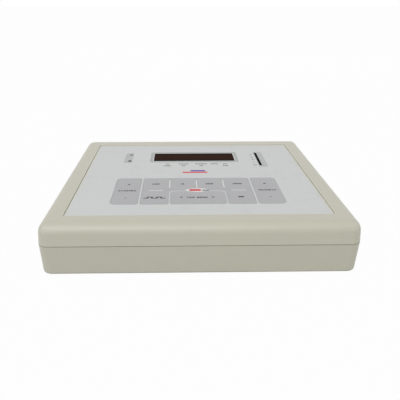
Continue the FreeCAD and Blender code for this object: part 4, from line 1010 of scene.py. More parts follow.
    def boolean(self, other: "Piece", operation: str) -> "Piece":
        """Cut, join or intersect with another piece.

        Args:
            other: The other piece, which is used up.
            operation: DIFFERENCE, UNION or INTERSECT.

        Returns:
            The piece itself.
        """
        modifier = self.thing.modifiers.new("shape", "BOOLEAN")
        modifier.operation = operation
        modifier.solver = "EXACT"
        modifier.object = other.thing
        self._apply(modifier)
        bpy.data.meshes.remove(other.thing.data)
        return self

    def soften(self, width: float, segments: int = 2, angle: float = 30.0) -> "Piece":
        """Round every sharp edge.

        Args:
            width: Width of the rounding in millimetres.
            segments: Number of its steps.
            angle: Edges that turn by more than this many degrees are sharp.

        Returns:
            The piece itself.
        """
        modifier = self.thing.modifiers.new("edges", "BEVEL")
        modifier.width = width * MM
        modifier.segments = segments
        modifier.limit_method = "ANGLE"
        modifier.angle_limit = math.radians(angle)
        self._apply(modifier)
        return self

    def _apply(self, modifier: bpy.types.Modifier) -> None:
        """Apply a modifier."""
        self.take()
        bpy.ops.object.modifier_apply(modifier=modifier.name)

    def take(self) -> None:
        """Select this piece alone and make it the active one."""
        deselect()
        self.thing.select_set(True)
        bpy.context.view_layer.objects.active = self.thing

    def turn(self, angle: float, axis: Axis, centre: Vector) -> "Piece":
        """Turn the mesh.

        Args:
            angle: Angle in degrees.
            axis: Direction of the line that it turns about.
            centre: A point of that line.

        Returns:
            The piece itself.
        """
        matrix = (Matrix.Translation(centre) @ Matrix.Rotation(math.radians(angle), 4, axis.name)
                  @ Matrix.Translation(-centre))
        self.thing.data.transform(matrix)
        return self

    def copy(self, name: str, move: Vector) -> "Piece":
        """Copy the piece, with a mesh of its own.

        Args:
            name: Name of the copy.
            move: How far the copy lies from the piece.

        Returns:
            The copy.
        """
        self.take()
        bpy.ops.object.duplicate()
        bpy.context.object.location = move
        return Piece(name)

    def shift(self, name: str, move: Vector) -> "Piece":
        """Move the piece itself.

        Args:
            name: Its new name.
            move: How far it moves.

        Returns:
            The piece itself.
        """
        self.thing.name = name
        self.thing.data.transform(Matrix.Translation(move))
        return self

    def finish(self, material: bpy.types.Material, body: str, slot: str = "", replaces: str = "",
               smooth: float = 35.0) -> bpy.types.Object:
        """Close the piece, dress it and let it ride.

        Args:
            material: Its finish.
            body: Body that it rides on.
            slot: Material slot of the record, if it has one; not used.
            replaces: Node that it stands for, if it does.
            smooth: Edges that turn by less than this many degrees look smooth.

        Returns:
            The finished object.
        """
        with self.editing():
            bpy.ops.mesh.select_all(action="SELECT")
            bpy.ops.mesh.remove_doubles(threshold=1e-7)
            bpy.ops.mesh.normals_make_consistent(inside=False)
        self.take()
        bpy.ops.object.shade_smooth_by_angle(angle=math.radians(smooth))
        self.thing.data.materials.clear()
        self.thing.data.materials.append(material)
        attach(self.thing, body)
        if replaces:
            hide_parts(replaces)
        LOG.info("%s rides on %s, %d faces", self.thing.name, body, len(self.thing.data.polygons))
        return self.thing

    def finish_at_corners(self, first: Vector, material: bpy.types.Material, slot: str, node: str) -> None:
        """Copy a finished shape from its corner of the part to the other three, and dress all four.

        Args:
            first: Place of the piece, whose name ends in 1.
            material: Finish of the pieces.
            slot: Their material slot.
            node: Node that they stand for.
        """
        stem = self.thing.name.removesuffix("1")
        across, along = -2 * first.x, -2 * first.y
        for number, move in enumerate(((across, 0.0), (0.0, along), (across, along)), start=2):
            self.copy(f"{stem}{number}", Vector((*move, 0.0))).finish(material, "root", slot, node)
        self.finish(material, "root", slot, node)


def runs_along(axis: Axis) -> Test:
    """Return a test for edges that run along an axis."""
    return lambda first, second: abs((first - second).normalized()[axis.index]) > 0.9


def lies_at(axis: Axis, place: float) -> Test:
    """Return a test for edges whose two ends lie at a place along an axis, in metres."""
    return lambda *ends: all(abs(end[axis.index] - place) < SAME_PLACE for end in ends)


# ---------------------------------------------------------------- the front

class InkColour(Enum):
    """Inks that the film and the sockets are printed with."""

    GREY = (50, 50, 58)
    PALE = (84, 84, 92)
    VIOLET = (92, 78, 160)
    RED = (204, 52, 66)
    WHITE = (214, 214, 210)


class Sign(Enum):
    """Signs that are drawn and not set from type, as corner points for a height of 1."""

    UP = ((-0.5, -0.4), (0.5, -0.4), (0.0, 0.5))
    LEFT = ((0.4, -0.5), (0.4, 0.5), (-0.5, 0.0))
    RIGHT = ((-0.4, -0.5), (-0.4, 0.5), (0.5, 0.0))
    PULSE = ((-2.6, -0.5), (-1.4, -0.5), (-1.4, 0.12), (-0.8, 0.12), (-0.8, -0.5), (0.8, -0.5), (0.8, 0.12),
             (1.4, 0.12), (1.4, -0.5), (2.6, -0.5), (2.6, -0.12), (1.8, -0.12), (1.8, 0.5), (0.4, 0.5),
             (0.4, -0.12), (-0.4, -0.12), (-0.4, 0.5), (-1.8, 0.5), (-1.8, -0.12), (-2.6, -0.12))


@dataclass
class Mark:
    """One printed mark.

    Attributes:
        shape: Characters, a drawn sign, or the width of a plain bar.
        x: Place across, from the middle of the controls.
        y: Place along.
        height: Height of its characters, sign or bar.
        body: Body whose face it is printed on.
        colour: Its ink.
        wide: How much wider than usual its characters are.
        bold: How much its strokes are thickened, as a share of its height.
    """

    shape: str | Sign | float
    x: float
    y: float
    height: float = 2.4
    body: str = "root"
    colour: InkColour = InkColour.GREY
    wide: float = 1.0
    bold: float = 0.05


@dataclass
class Printer:
    """Prints marks as thin raised ink.

    Attributes:
        inks: The finish of each ink.
        lift: Height of the ink over the face that carries it.
        thickness: Thickness of the ink.
        type_size: Size of type whose characters are 1 high.
        tracking: Distance between characters, as a share of the usual one.
        count: How many marks were printed.
    """

    inks: dict[InkColour, bpy.types.Material]
    lift: float = 0.004
    thickness: float = 0.02
    type_size: float = 1.4
    tracking: float = 1.12
    count: int = 0

    def print_mark(self, mark: Mark, to_face: Matrix) -> None:
        """Print one mark.

        Args:
            mark: The mark; its own place isn't used.
            to_face: Turns and moves the mark from the ground plane to the face that carries it.
        """
        if isinstance(mark.shape, str):
            self.set_type(mark)
        elif isinstance(mark.shape, Sign):
            self.draw_sign(mark)
        else:
            self.draw_bar(mark)
        thing = bpy.context.object
        thing.data.transform(to_face @ Matrix.Translation((0.0, 0.0, self.lift * MM)))
        self.count += 1
        Piece(f"mark_{self.count}").finish(self.inks[mark.colour], mark.body)

    def set_type(self, mark: Mark) -> None:
        """Set characters about the origin.

        Args:
            mark: The mark.
        """
        deselect()
        bpy.ops.object.text_add(location=(0.0, 0.0, 0.0))
        words = bpy.context.object.data
        words.body = mark.shape
        words.size = mark.height * self.type_size * MM
        words.resolution_u = 3
        words.align_x = "CENTER"
        words.align_y = "CENTER"
        words.offset = mark.bold * mark.height * MM
        words.space_character = self.tracking
        words.extrude = self.thickness / 2 * MM
        bpy.ops.object.convert(target="MESH")
        thing = bpy.context.object
        corners = [vertex.co for vertex in thing.data.vertices]
        middle = [(min(place[i] for place in corners) + max(place[i] for place in corners)) / 2
                  for i in (0, 1)]
        thing.data.transform(Matrix.Diagonal((mark.wide, 1.0, 1.0, 1.0))
                             @ Matrix.Translation((-middle[0], -middle[1], self.thickness / 2 * MM)))

    def draw_sign(self, mark: Mark) -> None:
        """Draw a sign about the origin."""
        corners = [(x * mark.height, y * mark.height) for x, y in mark.shape.value]
        Piece.prism("sign", corners, 0.0, self.thickness)

    def draw_bar(self, mark: Mark) -> None:
        """Draw a plain bar with round ends about the origin.

        Args:
            mark: The mark.
        """
        half = Vector((mark.shape / 2, mark.height / 2, 0.0)) * MM
        bar = Piece.box("bar", -half, half + Vector((0.0, 0.0, self.thickness)) * MM)
        bar.bevel(runs_along(Axis.Z), mark.height * 0.45, 4)


@dataclass
class Keypad:
    """Key plates with a low crown, and the marks printed on them and on the panel.

    Attributes:
        middle: Middle of the controls, across the part.
        gap: Clearance between a plate and the film round it.
        opening_gap: Clearance between a key node and the film round it.
        corner: Corner radius of a plate.
        shoulder: Width of the slope from the edge of a plate to its crown.
        crown: Height of the crown.
    """

    middle: float
    gap: float = 0.1
    opening_gap: float = 0.25
    corner: float = 3.15
    shoulder: float = 0.9
    crown: float = 0.1

    def build(self, film: bpy.types.Material, printer: Printer) -> None:
        """Make every plate and every mark.

        Args:
            film: Finish of the plates.
            printer: Prints the marks.
        """
        for body in frame["bodies"]:
            if body.startswith("key_"):
                self.plate(body, film)
        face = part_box("front_panel")[1].z / MM
        for mark in self.marks():
            level = face + (0.0 if mark.body == "root" else self.crown)
            place = Vector((self.middle + mark.x, mark.y, level)) * MM
            printer.print_mark(mark, Matrix.Translation(place))

    def plate(self, body: str, film: bpy.types.Material) -> None:
        """Make one key plate.

        Args:
            body: Body of the key, and the node that the plate stands for.
            film: Its finish.
        """
        low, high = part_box(body)
        grow = Vector((self.opening_gap - self.gap, self.opening_gap - self.gap, 0.0)) * MM
        plate = Piece.box(f"plate_{body}", low - grow, high + grow)
        plate.bevel(runs_along(Axis.Z), self.corner, 8)
        plate.inset(lambda middle, normal: normal.z > 0.9, self.shoulder, self.crown)
        plate.finish(film, body, "key_film", body, 20.0)

    @staticmethod
    def marks() -> list[Mark]:
        """List the marks of the front: plain numbers, arrows and bars only.

        Returns:
            The marks of the keys, of the fields between them, under and beside the display, and the accents.
        """
        keys = [Mark("100", -43.6, -30.2, 3.0, "key_function_1", wide=1.25, bold=0.07),
                Mark("2", -15.0, -30.2, 3.0, "key_function_2", wide=1.5, bold=0.07),
                Mark("300", 13.8, -30.2, 3.0, "key_function_3", wide=1.2, bold=0.07),
                Mark("4000", 43.5, -30.2, 3.0, "key_function_4", wide=1.05, bold=0.07),
                Mark(Sign.PULSE, -43.6, -64.8, 4.2, "key_interrupt"),
                Mark(Sign.LEFT, -17.0, -64.3, 3.2, "key_frequency_down"),
                Mark(Sign.RIGHT, 15.6, -64.3, 3.2, "key_frequency_up"),
                Mark(6.0, 43.5, -63.8, 3.0, "key_tone"),
                Mark(Sign.UP, -72.3, -30.7, 3.4, "key_level_up"),
                Mark(2.6, -72.3, -65.2, 1.0, "key_level_down", InkColour.PALE),
                Mark(Sign.UP, 73.1, -29.7, 3.6, "key_masking_up"),
                Mark(2.8, 73.1, -64.3, 1.0, "key_masking_down", InkColour.PALE)]
        fields = [Mark("0123456", -72.7, -47.1, 2.8, wide=1.22, bold=0.07),
                  Mark("0246810", 73.0, -47.0, 2.8, wide=1.18, bold=0.07),
                  Mark("125 8000", -0.4, -64.6, 3.0, wide=1.2, bold=0.07)]
        below = [(-32.8, ("10", "1000")), (-13.4, ("20000", "20")), (7.7, ("300000", "30")),
                 (23.5, ("4000",)), (36.6, ("50", "500"))]
        under_display = [Mark(number, x, 31.6 - 6.0 * row, 2.6, colour=InkColour.PALE, wide=1.15, bold=0.07)
                         for x, numbers in below for row, number in enumerate(numbers)]
        scale = [Mark(number, 72.5, y, 2.3, colour=InkColour.PALE, wide=1.4, bold=0.08) for number, y in
                 (("4", 64.6), ("3", 54.8), ("2", 46.9), ("1", 37.0), ("10", 27.1))]
        accents = [Mark(17.5, 2.9, 8.9, 4.2, colour=InkColour.VIOLET),
                   Mark(29.0, -0.5, 4.0, 3.6, colour=InkColour.RED)]
        return keys + fields + under_display + scale + accents


@dataclass
class PanelLamp:
    """Round indicator beside the display, with a domed lens, a flange and two legs.

    Attributes:
        node: Node that it stands for.
        radius: Radius of the lens.
        flange: Thickness of the flange.
        leg: Width of a leg.
        spacing: Distance between the legs.
        stand: Length of the legs under the flange.
        dome: Rounding of the top of the lens.
    """

    node: str = "indicator_light"
    radius: float = 1.75
    flange: float = 1.0
    leg: float = 0.45
    spacing: float = 2.0
    stand: float = 3.0
    dome: float = 0.35

    def build(self, lens: bpy.types.Material, metal: bpy.types.Material) -> None:
        """Make the lens and its legs.

        Args:
            lens: Finish of the lens.
            metal: Finish of the legs.
        """
        low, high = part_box(self.node)
        centre = (low + high) / 2
        bottom = low.z / MM + self.stand
        top = high.z / MM
        body = Piece.round("indicator_lens", Vector((centre.x, centre.y, (bottom + top) / 2 * MM)),
                           self.radius, top - bottom)
        body.bevel(lies_at(Axis.Z, high.z), self.dome, 4)
        foot = Piece.round("foot", Vector((centre.x, centre.y, (bottom + self.flange / 2) * MM)),
                           (high.x - low.x) / 2 / MM, self.flange)
        body.boolean(foot, "UNION").finish(lens, "root", "grey_lens", self.node)
        for number, side in enumerate((-1, 1), start=1):
            middle = Vector((centre.x + side * self.spacing / 2 * MM, centre.y, 0.0))
            half = Vector((self.leg / 2, self.leg / 2, 0.0)) * MM
            leg = Piece.box(f"indicator_leg_{number}", middle - half + Vector((0, 0, low.z)),
                            middle + half + Vector((0, 0, (bottom + 0.2) * MM)))
            leg.soften(0.08, 2).finish(metal, "root", "zinc_steel", self.node)


# ---------------------------------------------------------------- the rear

def to_rear(place: Vector) -> Matrix:
    """Return what stands a mark up, facing the rear, at a place."""
    return Matrix.Translation(place) @ Matrix.Rotation(math.pi, 4, "Z") @ Matrix.Rotation(math.pi / 2, 4, "X")


@dataclass
class PhoneSockets:
    """Phone sockets of the rear bay: moulded bodies, threaded bushes and hexagon nuts.

    Attributes:
        nodes: Nodes that they stand for, from the first to the last.
        bush: Radius of a bush.
        bush_length: Length of a bush.
        bore: Radius of the bore.
        bore_depth: Depth of the bore.
        pitch: Pitch of the thread.
        thread: Depth of the thread.
        thread_start: First ring of the thread, from the mouth.
        rings: Rings of the thread, high and low in turn.
        mouth_edge: Rounding of the mouth of a bush.
        flats: Nut across its flats.
        nut: Thickness of a nut.
        chamfer: Chamfer of a nut's corners.
        play: Clearance of a nut round its bush.
        number_rise: Numbers above the axis of the sockets.
        number_height: Height of the numbers.
    """

    nodes: tuple[str, ...] = ("left_phone_jack", "right_phone_jack", "bone_phone_jack", "response_jack")
    bush: float = 4.5
    bush_length: float = 6.6
    bore: float = 3.25
    bore_depth: float = 27.6
    pitch: float = 0.5
    thread: float = 0.22
    thread_start: float = 0.45
    rings: int = 8
    mouth_edge: float = 0.3
    flats: float = 12.0
    nut: float = 2.0
    chamfer: float = 0.45
    play: float = 0.05
    number_rise: float = 8.4
    number_height: float = 2.2

    def build(self, plastic: bpy.types.Material, metal: bpy.types.Material, printer: Printer) -> None:
        """Make one socket and its nut, copy them along the row and number them.

        Args:
            plastic: Finish of the bodies.
            metal: Finish of the bushes and nuts.
            printer: Prints the numbers.
        """
        low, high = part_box(self.nodes[0])
        axis = (low + high) / 2
        nut_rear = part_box("jack_nuts")[1].y
        pieces = [self.housing(low, high, axis), self.threaded_bush(high.y, axis),
                  self.hexagon_nut(nut_rear, axis)]
        wear = [("housing", plastic, "black_plastic"), ("bush", metal, "nickel"), ("nut", metal, "nickel")]
        for number, node in enumerate(self.nodes, start=1):
            move = Vector((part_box(node)[0].x - low.x, 0.0, 0.0))
            is_last = number == len(self.nodes)
            for piece, (part, material, slot) in zip(pieces, wear):
                name = f"{node}_{part}"
                one = piece.shift(name, move) if is_last else piece.copy(name, move)
                one.finish(material, "root", slot, "jack_nuts" if part == "nut" else node)
            place = axis + move + Vector((0.0, 0.0, self.number_rise * MM))
            place.y = nut_rear - self.nut * MM
            printer.print_mark(Mark(str(number), 0.0, 0.0, self.number_height), to_rear(place))

    def housing(self, low: Vector, high: Vector, axis: Vector) -> Piece:
        """Make the moulded body with its bore.

        Args:
            low: Lowest corner of the whole socket.
            high: Its highest corner.
            axis: A point of its axis.

        Returns:
            The body.
        """
        front = high.y - self.bush_length * MM
        body = Piece.box("housing", low, Vector((high.x, front, high.z))).soften(0.5, 3)
        return body.boolean(self.drill(high.y, axis), "DIFFERENCE")

    def drill(self, mouth: float, axis: Vector) -> Piece:
        """Return the shape of the bore."""
        length = self.bore_depth + 1.0
        return Piece.round("bore", Vector((axis.x, mouth + (1.0 - length / 2) * MM, axis.z)), self.bore,
                           length, Axis.Y)

    def threaded_bush(self, mouth: float, axis: Vector) -> Piece:
        """Make the bush with its thread beyond the nut and its bevelled mouth.

        Args:
            mouth: Place of its mouth along the depth.
            axis: A point of its axis.

        Returns:
            The bush.
        """
        centre = Vector((axis.x, mouth - self.bush_length / 2 * MM, axis.z))
        bush = Piece.round("bush", centre, self.bush, self.bush_length, Axis.Y)
        bush.bevel(lies_at(Axis.Y, mouth), self.mouth_edge, 3)
        rings = [mouth - (self.thread_start + step * self.pitch / 2) * MM for step in range(self.rings)]
        bush.ring_cuts(Axis.Y, rings)
        bush.shrink_rings(Axis.Y, rings[1::2], centre, 1 - self.thread / self.bush)
        return bush.boolean(self.drill(mouth, axis), "DIFFERENCE")

    def hexagon_nut(self, rear: float, axis: Vector) -> Piece:
        """Make a nut with chamfered corners and its hole.

        Args:
            rear: Place of its rear face along the depth.
            axis: A point of its axis.

        Returns:
            The nut.
        """
        centre = Vector((axis.x, rear - self.nut / 2 * MM, axis.z))
        corner = self.flats / 2 / math.cos(math.pi / 6)
        nut = Piece.round("nut", centre, corner, self.nut, Axis.Y, 6)
        low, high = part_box("jack_nuts")
        stands_on_flat = (high.z - low.z) / MM < self.flats + 0.1
        if stands_on_flat:
            nut.turn(30.0, Axis.Y, centre)
        disc = Piece.round("disc", centre, corner - self.play, self.nut, Axis.Y, 64)
        disc.bevel(lies_at(Axis.Y, rear), self.chamfer, 2)
        nut.boolean(disc, "INTERSECT")
        hole = Piece.round("hole", centre, self.bush + self.play, self.nut + 2.0, Axis.Y)
        return nut.boolean(hole, "DIFFERENCE")


@dataclass
class PowerInlet:
    """Round power inlet with its centre pin.

    Attributes:
        node: Node that it stands for.
        depth: Depth of the body without its mouth.
        mouth: Radius of the round mouth.
        bore: Radius of the bore.
        bore_depth: Depth of the bore.
        pin: Radius of the pin.
        pin_inset: Tip of the pin behind the mouth.
        pin_root: How far the pin runs into the bottom of the bore.
        edge: Rounding of the body.
        mouth_edge: Rounding of the mouth.
        tip: Rounding of the pin's tip.
        number_rise: Its number above the axis.
        number_height: Height of its number.
    """

    node: str = "power_inlet"
    depth: float = 14.0
    mouth: float = 4.2
    bore: float = 3.2
    bore_depth: float = 10.0
    pin: float = 1.0
    pin_inset: float = 1.0
    pin_root: float = 0.3
    edge: float = 0.4
    mouth_edge: float = 0.25
    tip: float = 0.4
    number_rise: float = 8.4
    number_height: float = 2.2

    def build(self, plastic: bpy.types.Material, metal: bpy.types.Material, printer: Printer,
              height: float) -> None:
        """Make the inlet.

        Args:
            plastic: Finish of the body.
            metal: Finish of the pin.
            printer: Prints its number.
            height: Height of the sockets' axes.
        """
        low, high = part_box(self.node)
        centre_x, rear = (low.x + high.x) / 2, high.y
        body = Piece.box("inlet_body", low, Vector((high.x, low.y + self.depth * MM, high.z)))
        body.soften(self.edge, 3)
        length = (rear - low.y) / MM - self.depth
        snout = Piece.round("mouth", Vector((centre_x, rear - (length + 1) / 2 * MM, height)), self.mouth,
                            length + 1, Axis.Y)
        snout.bevel(lies_at(Axis.Y, rear), self.mouth_edge, 2)
        body.boolean(snout, "UNION")
        bore = Piece.round("bore", Vector((centre_x, rear + (1 - (self.bore_depth + 1) / 2) * MM, height)),
                           self.bore, self.bore_depth + 1, Axis.Y)
        body.boolean(bore, "DIFFERENCE").finish(plastic, "root", "black_plastic", self.node)
        reach = self.bore_depth - self.pin_inset + self.pin_root
        tip = rear - self.pin_inset * MM
        pin = Piece.round("inlet_pin", Vector((centre_x, tip - reach / 2 * MM, height)), self.pin, reach,
                          Axis.Y, 32)
        pin.bevel(lies_at(Axis.Y, tip), self.tip, 4).finish(metal, "root", "nickel", self.node)
        printer.print_mark(Mark("5", 0.0, 0.0, self.number_height),
                           to_rear(Vector((centre_x, rear, height + self.number_rise * MM))))


@dataclass
class PowerSwitch:
    """Power switch: bevelled frame with its well, blade terminals, and the rocker that shows on and off.

    Attributes:
        flange: Thickness of the flange.
        corner: Corner radius of the flange.
        edge: Rounding of the edge of its face.
        body_size: Width, depth and height of the body behind the flange.
        well: Width, depth and height of the well.
        pivot_depth: Pivot below the face of the flange.
        rocker: Half the length, and the height of the rocker.
        waist: Middle of the rocker above its pivot.
        shoulder: Lower edges of its tips above its pivot.
        foot: Half the width of its foot, and how far that lies below its pivot.
        slope: Slope of each half in degrees, which is its tilt at rest.
        pin: Radius of the pivot pins.
        pin_half: Half the length over both pins.
        play: Clearance of the pins in their holes.
        blade: Spacing, thickness, length and width of the terminals.
        blade_tip: Rounding of their tips.
        rocker_edge: Rounding of the rocker's edges.
        sign: Place of a sign along its half of the rocker, as a share, and its height.
    """

    flange: float = 1.5
    corner: float = 1.2
    edge: float = 0.5
    body_size: Point = (19.0, 14.0, 12.0)
    well: Point = (15.0, 8.5, 9.2)
    pivot_depth: float = 3.0
    rocker: Pair = (6.6, 8.6)
    waist: float = 2.4
    shoulder: float = 0.3
    foot: Pair = (3.5, 3.0)
    slope: float = 10.0
    pin: float = 1.2
    pin_half: float = 5.3
    play: float = 0.06
    blade: tuple[float, float, float, float] = (10.0, 0.8, 6.0, 4.8)
    blade_tip: float = 1.0
    rocker_edge: float = 0.45
    sign: Pair = (0.56, 2.4)

    def build(self, plastic: bpy.types.Material, metal: bpy.types.Material, printer: Printer) -> None:
        """Make the frame, its terminals and the rocker.

        Args:
            plastic: Finish of the frame and the rocker.
            metal: Finish of the terminals.
            printer: Prints the signs for on and off.
        """
        low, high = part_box("power_switch_frame")
        centre = (low + high) / 2
        self.frame(low, high, centre).finish(plastic, "root", "switch_black", "power_switch_frame")
        self.terminals(low, centre, metal)
        pivot = Vector((centre.x, high.y - self.pivot_depth * MM, centre.z))
        tilt = Matrix.Translation(pivot) @ Matrix.Rotation(-math.radians(self.slope), 4, "Z")
        rocker = self.rocker_body()
        rocker.thing.data.transform(tilt)
        rocker.finish(plastic, "power_rocker", "switch_black", "power_rocker")
        middle = self.rocker[0] * self.sign[0]
        rise = self.waist + middle * math.tan(math.radians(self.slope))
        for side, shape in ((1, "O"), (-1, "I")):
            face = (tilt @ Matrix.Translation(Vector((side * middle, rise, 0.0)) * MM)
                    @ Matrix.Rotation(side * math.radians(self.slope), 4, "Z") @ to_rear(Vector()))
            printer.print_mark(Mark(shape, 0.0, 0.0, self.sign[1], "power_rocker", InkColour.WHITE), face)

    def frame(self, low: Vector, high: Vector, centre: Vector) -> Piece:
        """Make the flange and the body with the well and the holes of the pins.

        Args:
            low: Lowest corner of the whole frame.
            high: Its highest corner.
            centre: Its middle.

        Returns:
            The frame.
        """
        back = high.y - self.flange * MM
        flange = Piece.box("switch_frame", Vector((low.x, back, low.z)), high)
        flange.bevel(runs_along(Axis.Y), self.corner, 5)
        flange.bevel(lies_at(Axis.Y, high.y), self.edge, 3)
        half = Vector((self.body_size[0] / 2, 0.0, self.body_size[2] / 2)) * MM
        body = Piece.box("body", Vector((centre.x, back - self.body_size[1] * MM, centre.z)) - half,
                         Vector((centre.x, back + 0.2 * MM, centre.z)) + half).soften(0.3, 2)
        flange.boolean(body, "UNION")
        half = Vector((self.well[0] / 2, 0.0, self.well[2] / 2)) * MM
        well = Piece.box("well", Vector((centre.x, high.y - self.well[1] * MM, centre.z)) - half,
                         Vector((centre.x, high.y + 1.0 * MM, centre.z)) + half)
        flange.boolean(well, "DIFFERENCE")
        pivot = Vector((centre.x, high.y - self.pivot_depth * MM, centre.z))
        holes = Piece.round("holes", pivot, self.pin + self.play, 2 * (self.pin_half + self.play))
        return flange.boolean(holes, "DIFFERENCE")

    def terminals(self, low: Vector, centre: Vector, metal: bpy.types.Material) -> None:
        """Make the two blades with rounded tips.

        Args:
            low: Lowest corner of the whole frame.
            centre: Its middle.
            metal: Finish of the blades.
        """
        spacing, thickness, length, width = self.blade
        at_tip, across = lies_at(Axis.Y, low.y), runs_along(Axis.X)
        for number, side in enumerate((-1, 1), start=1):
            x = centre.x + side * spacing / 2 * MM
            half = Vector((thickness / 2, 0.0, width / 2)) * MM
            blade = Piece.box(f"switch_blade_{number}", Vector((x, low.y, centre.z)) - half,
                              Vector((x, low.y + length * MM, centre.z)) + half)
            blade.bevel(lambda *ends: at_tip(*ends) and across(*ends), self.blade_tip, 3)
            blade.soften(0.1, 1).finish(metal, "root", "nickel", "power_switch_frame")

    def rocker_body(self) -> Piece:
        """Make the rocker about its pivot, level and with its pins.

        Returns:
            The rocker.
        """
        half, height = self.rocker
        tip = self.waist + half * math.tan(math.radians(self.slope))
        foot, drop = self.foot
        outline = [(0.0, self.waist), (-half, tip), (-half, self.shoulder), (-foot, -drop), (foot, -drop),
                   (half, self.shoulder), (half, tip)]
        rocker = Piece.prism("rocker", outline, -height / 2, height)
        rocker.soften(self.rocker_edge, 4, 15.0)
        pins = Piece.round("pins", Vector(), self.pin, 2 * self.pin_half, Axis.Z, 32)
        return rocker.boolean(pins, "UNION")


# ---------------------------------------------------------------- the underside

@dataclass
class RubberFeet:
    """Round feet with a rolled edge and a dished sole.

    Attributes:
        radius: Radius of a foot.
        edge: Rounding of its lower edge.
        rim: Width of the ring that stands on the table.
        slope: Width of the dish's slope.
        dish: Depth of the dish.
        ease: How much smaller than its place a foot is.
    """

    radius: float = 6.0
    edge: float = 0.5
    rim: float = 1.6
    slope: float = 0.5
    dish: float = 0.35
    ease: float = 0.02

    def build(self, rubber: bpy.types.Material) -> None:
        """Make one foot and copy it to the other corners.

        Args:
            rubber: Their finish.
        """
        low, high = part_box("rubber_feet")
        first = Vector((low.x + self.radius * MM, low.y + self.radius * MM, (low.z + high.z) / 2))
        foot = Piece.round("foot_1", first, self.radius - self.ease, (high.z - low.z) / MM, Axis.Z, 64)
        foot.bevel(lies_at(Axis.Z, low.z), self.edge, 4)
        foot.inset(lambda _middle, normal: normal.z < -0.999, self.rim)
        foot.inset(lambda middle, normal: normal.z < -0.999 and (middle - first).xy.length < 1e-4,
                   self.slope, -self.dish)
        foot.finish_at_corners(first, rubber, "foot_rubber", "rubber_feet")


@dataclass
class CaseScrews:
    """Case screws with a pan head and a cross recess, seen from below.

    Attributes:
        head: Radius of the head.
        head_height: Height of the head.
        shank: Radius of the shank.
        cross: Length, width and depth of the recess.
        pan: Rounding of the head.
        overlap: How far the shank runs into the head.
        ease: How much smaller than its place a head is.
    """

    head: float = 2.8
    head_height: float = 2.4
    shank: float = 1.45
    cross: Point = (3.2, 0.7, 1.3)
    pan: float = 0.9
    overlap: float = 0.2
    ease: float = 0.02

    def build(self, metal: bpy.types.Material) -> None:
        """Make one screw and copy it to the other corners.

        Args:
            metal: Their finish.
        """
        low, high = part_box("case_screws")
        first = Vector((low.x + self.head * MM, low.y + self.head * MM, 0.0))
        seat = low.z + self.head_height * MM
        screw = Piece.round("case_screw_1", first + Vector((0.0, 0.0, (low.z + seat) / 2)),
                            self.head - self.ease, self.head_height)
        screw.bevel(lies_at(Axis.Z, low.z), self.pan, 5)
        middle = first + Vector((0.0, 0.0, (seat + high.z) / 2 - self.overlap / 2 * MM))
        shank = Piece.round("shank", middle, self.shank, (high.z - seat) / MM + self.overlap, Axis.Z, 32)
        screw.boolean(shank, "UNION")
        length, width, depth = self.cross
        for half in (Vector((length / 2, width / 2, 0.0)), Vector((width / 2, length / 2, 0.0))):
            arm = Piece.box("arm", first - half * MM + Vector((0.0, 0.0, low.z - 1.0 * MM)),
                            first + half * MM + Vector((0.0, 0.0, low.z + depth * MM)))
            screw.boolean(arm, "DIFFERENCE")
        screw.finish_at_corners(first, metal, "zinc_steel", "case_screws")


# ---------------------------------------------------------------- studio

